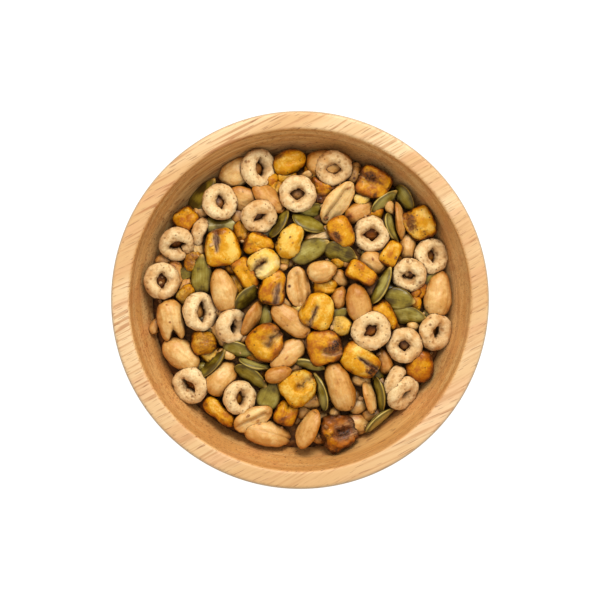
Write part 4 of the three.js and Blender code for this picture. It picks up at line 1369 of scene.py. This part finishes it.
def half_shape(item, point, seed):
    is_face = point.z * item.face > 0
    depth = item.thickness / 2 * (HALF_FACE if is_face else 1)
    moved = Vector((point.x * item.length / 2, point.y * item.width / 2 * (1 - HALF_TAPER * point.x),
                    point.z * depth))
    furrow = germ = slot = 0.0
    if is_face:
        inward = step(abs(point.z), 0.1, 0.75)
        bent = moved.y + 0.6 * noise.noise(seed + Vector((point.x, 0, 0)))
        furrow = hill(bent, FURROW_WIDTH) * inward
        furrow *= step(point.x, -1.0, -0.7) * (1 - step(point.x, 0.55, 0.8))
        lobes = hill(abs(bent) - 0.24 * item.width, 1.3) * inward
        lobes *= 1 + item.lobe * item.face * math.copysign(0.9, bent) * step(abs(bent), 0.0, 0.8)
        germ = hill(point.x - 0.74, 0.13) * hill(point.y, 0.2)
        moved.z += item.face * (0.7 * germ + 0.6 * lobes - 0.6 * furrow - 0.45 * inward)
    else:
        slot = hill(point.x - 0.84, 0.035) * hill(point.y + 0.3 * noise.noise(seed * 1.9), 0.3)
        moved.z += item.face * 0.5 * slot
    moved += point.normalized() * (rough(moved, seed, HALF_LUMPS)
                                   + 0.18 * streak_height(moved, seed, *PEANUT_STREAKS))
    # the toast rises round the sides and below: partly toasting, partly painted shade
    toast = item.toast + 0.24 + 0.7 * flank(point) + 0.22 * noise.noise(moved / 5 + seed)
    return moved, {"toast": toast, "seam": max(0.12 * furrow, slot), "tip": germ}


# %% The peanuts' material
def peanut_material():
    material, tree, shader, place = new_material("roasted_peanut", {
        "Roughness": 0.4, "Subsurface Weight": 0.12, "Subsurface Radius": (0.0015, 0.0008, 0.0004)})
    clouds = use_group(tree, MOTTLE, Place=place, Size=0.0042, Low=0.4, High=0.64)
    veins = use_group(tree, STREAKS, Length=6.0, Width=0.8, Low=0.45, High=0.75)
    warm = maths(tree, "ADD", times(tree, reading(tree, "toast"), 0.8), times(tree, clouds, 0.3),
                 clamp=True)
    fine = use_group(tree, MOTTLE, Place=place, Size=0.0011, Low=0.35, High=0.7)
    freckled = maths(tree, "MULTIPLY_ADD", fine, 0.22, maths(tree, "SUBTRACT", warm, 0.09))
    veined = maths(tree, "MULTIPLY_ADD", veins, 0.2, freckled)
    pale = blend(tree, ramp(tree, veined, 0.0, 0.6), screen(223, 191, 131), screen(203, 156, 87))
    tan = blend(tree, ramp(tree, veined, 0.5, 1.2), pale, screen(172, 110, 24))
    seam = stained(tree, tan, "seam", 0.7, screen(137, 87, 42))
    tip = stained(tree, seam, "tip", 0.35, screen(168, 118, 65))
    flecks = use_group(tree, FLECKS, Place=place, Spacing=0.0024, Width=0.0005, Share=0.28)
    dots = use_group(tree, FLECKS, Place=place, Spacing=0.0062, Width=0.0008, Share=0.4)
    marks = maths(tree, "MAXIMUM", times(tree, flecks, 0.55), dots)
    colour = blend(tree, marks, tip, screen(109, 63, 31))
    paint(tree, place, colour, screen(172, 108, 51), screen(94, 52, 25), shader)
    roughen(tree, place, 1.4, 0.2, shader)
    return material


peanut_finish = peanut_material()
joined_pieces("whole_peanuts", of_kind("peanut"), ball(5), ball(4), peanut_shape,
              ("toast", "seam", "tip"), peanut_finish)
joined_pieces("peanut_halves", of_kind("half"), ball(5), ball(4), half_shape,
              ("toast", "seam", "tip"), peanut_finish)


# %% [markdown]
# ## Pumpkin seeds
#
# A shelled pumpkin seed is a flat pointed oval with swollen faces and a thin pale edge. Its green is
# greyish where it is dry and dark olive where it is oily. Each is bent a little.

# %% The seed's shape
SEED_TAPER = 0.2
TIP_PINCH = 0.12
SEED_STREAKS = (8.0, 1.2)
SEED_RIDGES = 0.11
SEED_BEND = 0.012           # how strongly a seed curves along its length
SEED_LUMPS = ((3.5, 0.25), (1.4, 0.08))


def seed_shape(item, point, seed):
    narrowing = 1 - SEED_TAPER * point.x
    pinch = 1 - TIP_PINCH * step(point.x, 0.55, 1.0)
    edge = 1 - step(abs(point.z), 0.04, 0.2)
    # the sloping sides of the faces, which get painted shade
    side_shade = 1 - step(abs(point.z), 0.25, 0.8)
    swell = math.copysign(abs(point.z) ** 0.9, point.z) * (1 - 0.3 * edge)
    moved = Vector((point.x * item.length / 2, point.y * narrowing * pinch * item.width / 2,
                    swell * item.thickness / 2))
    moved.x += 0.5 * hill(1 - point.x, 0.06)
    ridges = SEED_RIDGES * streak_height(moved, seed, *SEED_STREAKS) * (1 - edge)
    moved.z += math.copysign(ridges, point.z)
    moved.z += SEED_BEND * (1 + noise.noise(seed * 1.3)) * moved.x ** 2 - 0.3
    out = Vector((0, 0, math.copysign(1, point.z)))
    moved += out * rough(moved, seed, SEED_LUMPS) * (1 - edge)
    return moved, {"pale": item.pale + 0.8 * noise.noise(moved / 4 + seed), "edge": edge,
                   "side_shade": side_shade * (1 - edge), "tip": hill(1 - point.x, 0.1)}


# %% The seeds' material
def seed_material():
    material, tree, shader, place = new_material("pumpkin_seed", {
        "Roughness": 0.4, "Specular IOR Level": 0.35, "Coat Weight": 0.2, "Coat Roughness": 0.2})
    clouds = use_group(tree, MOTTLE, Place=place, Size=0.0035, Low=0.35, High=0.7)
    veins = use_group(tree, STREAKS, Length=8.0, Width=0.55, Low=0.4, High=0.65)
    dry = maths(tree, "ADD", times(tree, reading(tree, "pale"), 0.8), times(tree, clouds, 0.4),
                clamp=True)
    veined = maths(tree, "MULTIPLY_ADD", veins, 0.14, dry)
    green = blend(tree, ramp(tree, veined, 0.0, 0.6), screen(78, 60, 6), screen(140, 122, 36))
    grey = blend(tree, ramp(tree, veined, 0.5, 1.15), green, screen(177, 165, 94))
    # painted shade: each face is darker down its sloping sides, so its middle looks lit
    shaded = stained(tree, grey, "side_shade", 0.85, screen(86, 68, 10))
    rim = maths(tree, "MAXIMUM", times(tree, reading(tree, "edge"), 0.38),
                times(tree, reading(tree, "tip"), 0.9))
    edged = blend(tree, rim, shaded, screen(206, 170, 86))
    flecks = use_group(tree, FLECKS, Place=place, Spacing=0.0016, Width=0.0005, Share=0.3)
    colour = blend(tree, times(tree, flecks, 0.4), edged, screen(86, 67, 15))
    paint(tree, place, colour, screen(210, 172, 88), screen(210, 172, 88), shader)
    roughen(tree, place, 1.2, 0.14, shader)
    return material


joined_pieces("pumpkin_seeds", of_kind("seed"), ball(5), ball(4), seed_shape,
              ("pale", "edge", "side_shade", "tip"), seed_material())


# %% [markdown]
# ## The core
#
# Under the pieces is a dark core, so that no light gets through the heap. Only its top shows, deep in
# the gaps, and it is rough with crumbs. Its dark brown is painted shade.

# %% The core's shape and material
CORE_STEPS = 24
CORE_TURNS = 96
CORE_LUMP_SIZE = 2.5
CORE_LUMP_HEIGHT = 0.9
CORE_EDGE = 0.2             # points nearer the core's top than this are lumpy


def core_material():
    material, tree, shader, place = new_material("core_in_painted_shade", {"Roughness": 0.8})
    clouds = use_group(tree, MOTTLE, Place=place, Size=0.003, Low=0.35, High=0.65)
    # painted shade: the dark brown of the deep gaps
    colour = blend(tree, clouds, screen(84, 54, 26), screen(134, 92, 44))
    tree.links.new(colour, shader.inputs["Base Color"])
    roughen(tree, place, 1.5, 0.8, shader)
    return material


def core_section():
    """From the bottom of the hollow up its wall, and back to the axis over a low dome."""
    start = hollow_angle(heap_surface(RIM_INNER, 0) - BED_DEPTH)
    wall = [hollow_point(start + (math.pi / 2 - start) * i / CORE_STEPS, GAP)
            for i in range(CORE_STEPS, -1, -1)]
    edge = wall[-1][0]
    top = [(edge * i / CORE_STEPS, heap_surface(edge * i / CORE_STEPS, 0) - BED_DEPTH)
           for i in range(CORE_STEPS - 1, -1, -1)]
    return wall + top


core_bm = spin_section(core_section(), CORE_TURNS)
for vert in core_bm.verts:
    if vert.co.z > heap_surface(vert.co.x, vert.co.y) - BED_DEPTH - CORE_EDGE:
        height = lumps(vert.co, Vector((0, 0, 0)), CORE_LUMP_SIZE, CORE_LUMP_HEIGHT)
        vert.co.z += height - CORE_LUMP_HEIGHT
core = finish_mesh(core_bm, "shade_core", core_material(), "trail_mix")


# %% [markdown]
# ## Shade in the gaps
#
# Where pieces meet, skins are painted darker and browner: this is painted shade. How closed in a point
# is can
# be measured: rays go out from it to the sky, and the share of them that soon meet another piece is
# the point's value. The tree of all the heap's faces makes each ray quick. Points that face down get
# the full value without a ray, because nobody sees them.

# %% Measure how closed in each point is
SKY_REACH = 7.0
SKY_RINGS = ((0, 1), (30, 4), (58, 6))      # degrees from straight up, and how many rays there
RAY_START = 0.06
FACES_DOWN = -0.35
GRAZING = 0.05              # rays that leave at a flatter slant than this aren't sent
FAR_LOSS = 0.6              # a neighbour at the end of a ray's reach counts this much less


def sky_directions():
    found = []
    for tilt, count in SKY_RINGS:
        for i in range(count):
            turn = Matrix.Rotation(math.tau * (i + tilt / 60) / count, 3, "Z")
            found.append(turn @ Matrix.Rotation(math.radians(tilt), 3, "Y") @ Vector((0, 0, 1)))
    return found


def heap_tree(pieces):
    """One search tree of all faces of some pieces, in metres."""
    points, faces = [], []
    for piece_object in pieces:
        start = len(points)
        points += [vert.co for vert in piece_object.data.vertices]
        faces += [[start + i for i in face.vertices] for face in piece_object.data.polygons]
    return BVHTree.FromPolygons(points, faces)


def closed_share(tree, place, normal):
    """The share of the sky that a point can't see, with near neighbours counting most."""
    if normal.z < FACES_DOWN:
        return 1.0
    start = place + normal * RAY_START * MM
    faced = hidden = 0.0
    for direction in DIRECTIONS:
        facing = direction.dot(normal)
        if facing > GRAZING:
            faced += facing
            distance = tree.ray_cast(start, direction, SKY_REACH * MM)[3]
            if distance is not None:
                hidden += facing * (1 - FAR_LOSS * distance / (SKY_REACH * MM))
    return hidden / faced if faced else 1.0


DIRECTIONS = sky_directions()
tree_of_heap = heap_tree(foods + [core, bowl])
for food in foods:
    shares = [closed_share(tree_of_heap, vert.co, vert.normal) for vert in food.data.vertices]
    give_points(food, "closed", shares)
    print(food.name, "is closed in by", round(sum(shares) / len(shares), 2))


# %% [markdown]
# ## Crumbs
#
# The mix sheds crumbs, which come to rest in the gaps and on flat tops. Each is found its place by a
# ray straight down at a drawn spot. Where it meets a slope the crumb would slide off, so none is put
# there, and most of the rest go where the heap is closed in.

# %% Drop the crumbs
CRUMB_TRIES = 420
CRUMB_SIZES = (0.7, 2.1)
CRUMB_WIDTHS = (0.6, 0.9)   # shares of the length
CRUMB_THICKNESS = 0.55
CRUMB_REACH = 54.0
CRUMB_SEAT = 0.3            # how far its middle lies over the skin, as a share of its thickness
STEEPEST = 0.62
GAP_FROM = 0.3              # a place that is closed in more than this is in a gap
CRUMB_OPEN_SHARE = 0.04
CRUMB_SQUARE = 3.0
CRUMB_LUMPS = ((0.8, 0.3), (0.4, 0.1))


def crumbs():
    found = []
    for _ in range(CRUMB_TRIES):
        outward, heading = CRUMB_REACH * math.sqrt(draw(0, 1)), draw(0, math.tau)
        size, tone, luck = draw(0, 1), draw(0, 1), draw(0, 1)
        top = Vector((outward * math.cos(heading), outward * math.sin(heading), BOWL_HEIGHT)) * MM
        place, normal = tree_of_heap.ray_cast(top, Vector((0, 0, -1)))[:2]
        if place is None or normal.z < STEEPEST:
            continue
        if closed_share(tree_of_heap, place, normal) < GAP_FROM and luck > CRUMB_OPEN_SHARE:
            continue
        size = CRUMB_SIZES[0] + (CRUMB_SIZES[1] - CRUMB_SIZES[0]) * size ** 2
        item = piece("crumb", 0, 0, size, size * draw(*CRUMB_WIDTHS), size * CRUMB_THICKNESS, 0, 0,
                     toast=tone, marks=[])
        item.place = (Matrix.Translation(place / MM + normal * item.thickness * CRUMB_SEAT)
                      @ normal.to_track_quat("Z", "X").to_matrix().to_4x4()
                      @ Matrix.Rotation(draw(0, math.tau), 4, "Z"))
        found.append(item)
    return found


def crumb_shape(item, point, seed):
    square = squarer(point, CRUMB_SQUARE)
    moved = Vector((square.x * item.length, square.y * item.width, square.z * item.thickness)) / 2
    moved += point * rough(moved, seed, CRUMB_LUMPS) * item.length / 2
    return moved, {"toast": item.toast}


def crumb_material():
    material, tree, shader, place = new_material("crumb", {"Roughness": 0.7})
    fine = use_group(tree, MOTTLE, Place=place, Size=0.0007, Low=0.35, High=0.65)
    warm = maths(tree, "MULTIPLY_ADD", fine, 0.3, reading(tree, "toast"))
    colour = blend(tree, ramp(tree, warm, 0.2, 1.2), screen(204, 166, 114), screen(140, 90, 42))
    tree.links.new(colour, shader.inputs["Base Color"])
    bump(tree, fine, 0.1, shader)
    return material


crumb_items = crumbs()
joined_pieces("crumbs", crumb_items, ball(3), ball(3), crumb_shape, ("toast",), crumb_material())
print(len(crumb_items), "crumbs")


# %% [markdown]
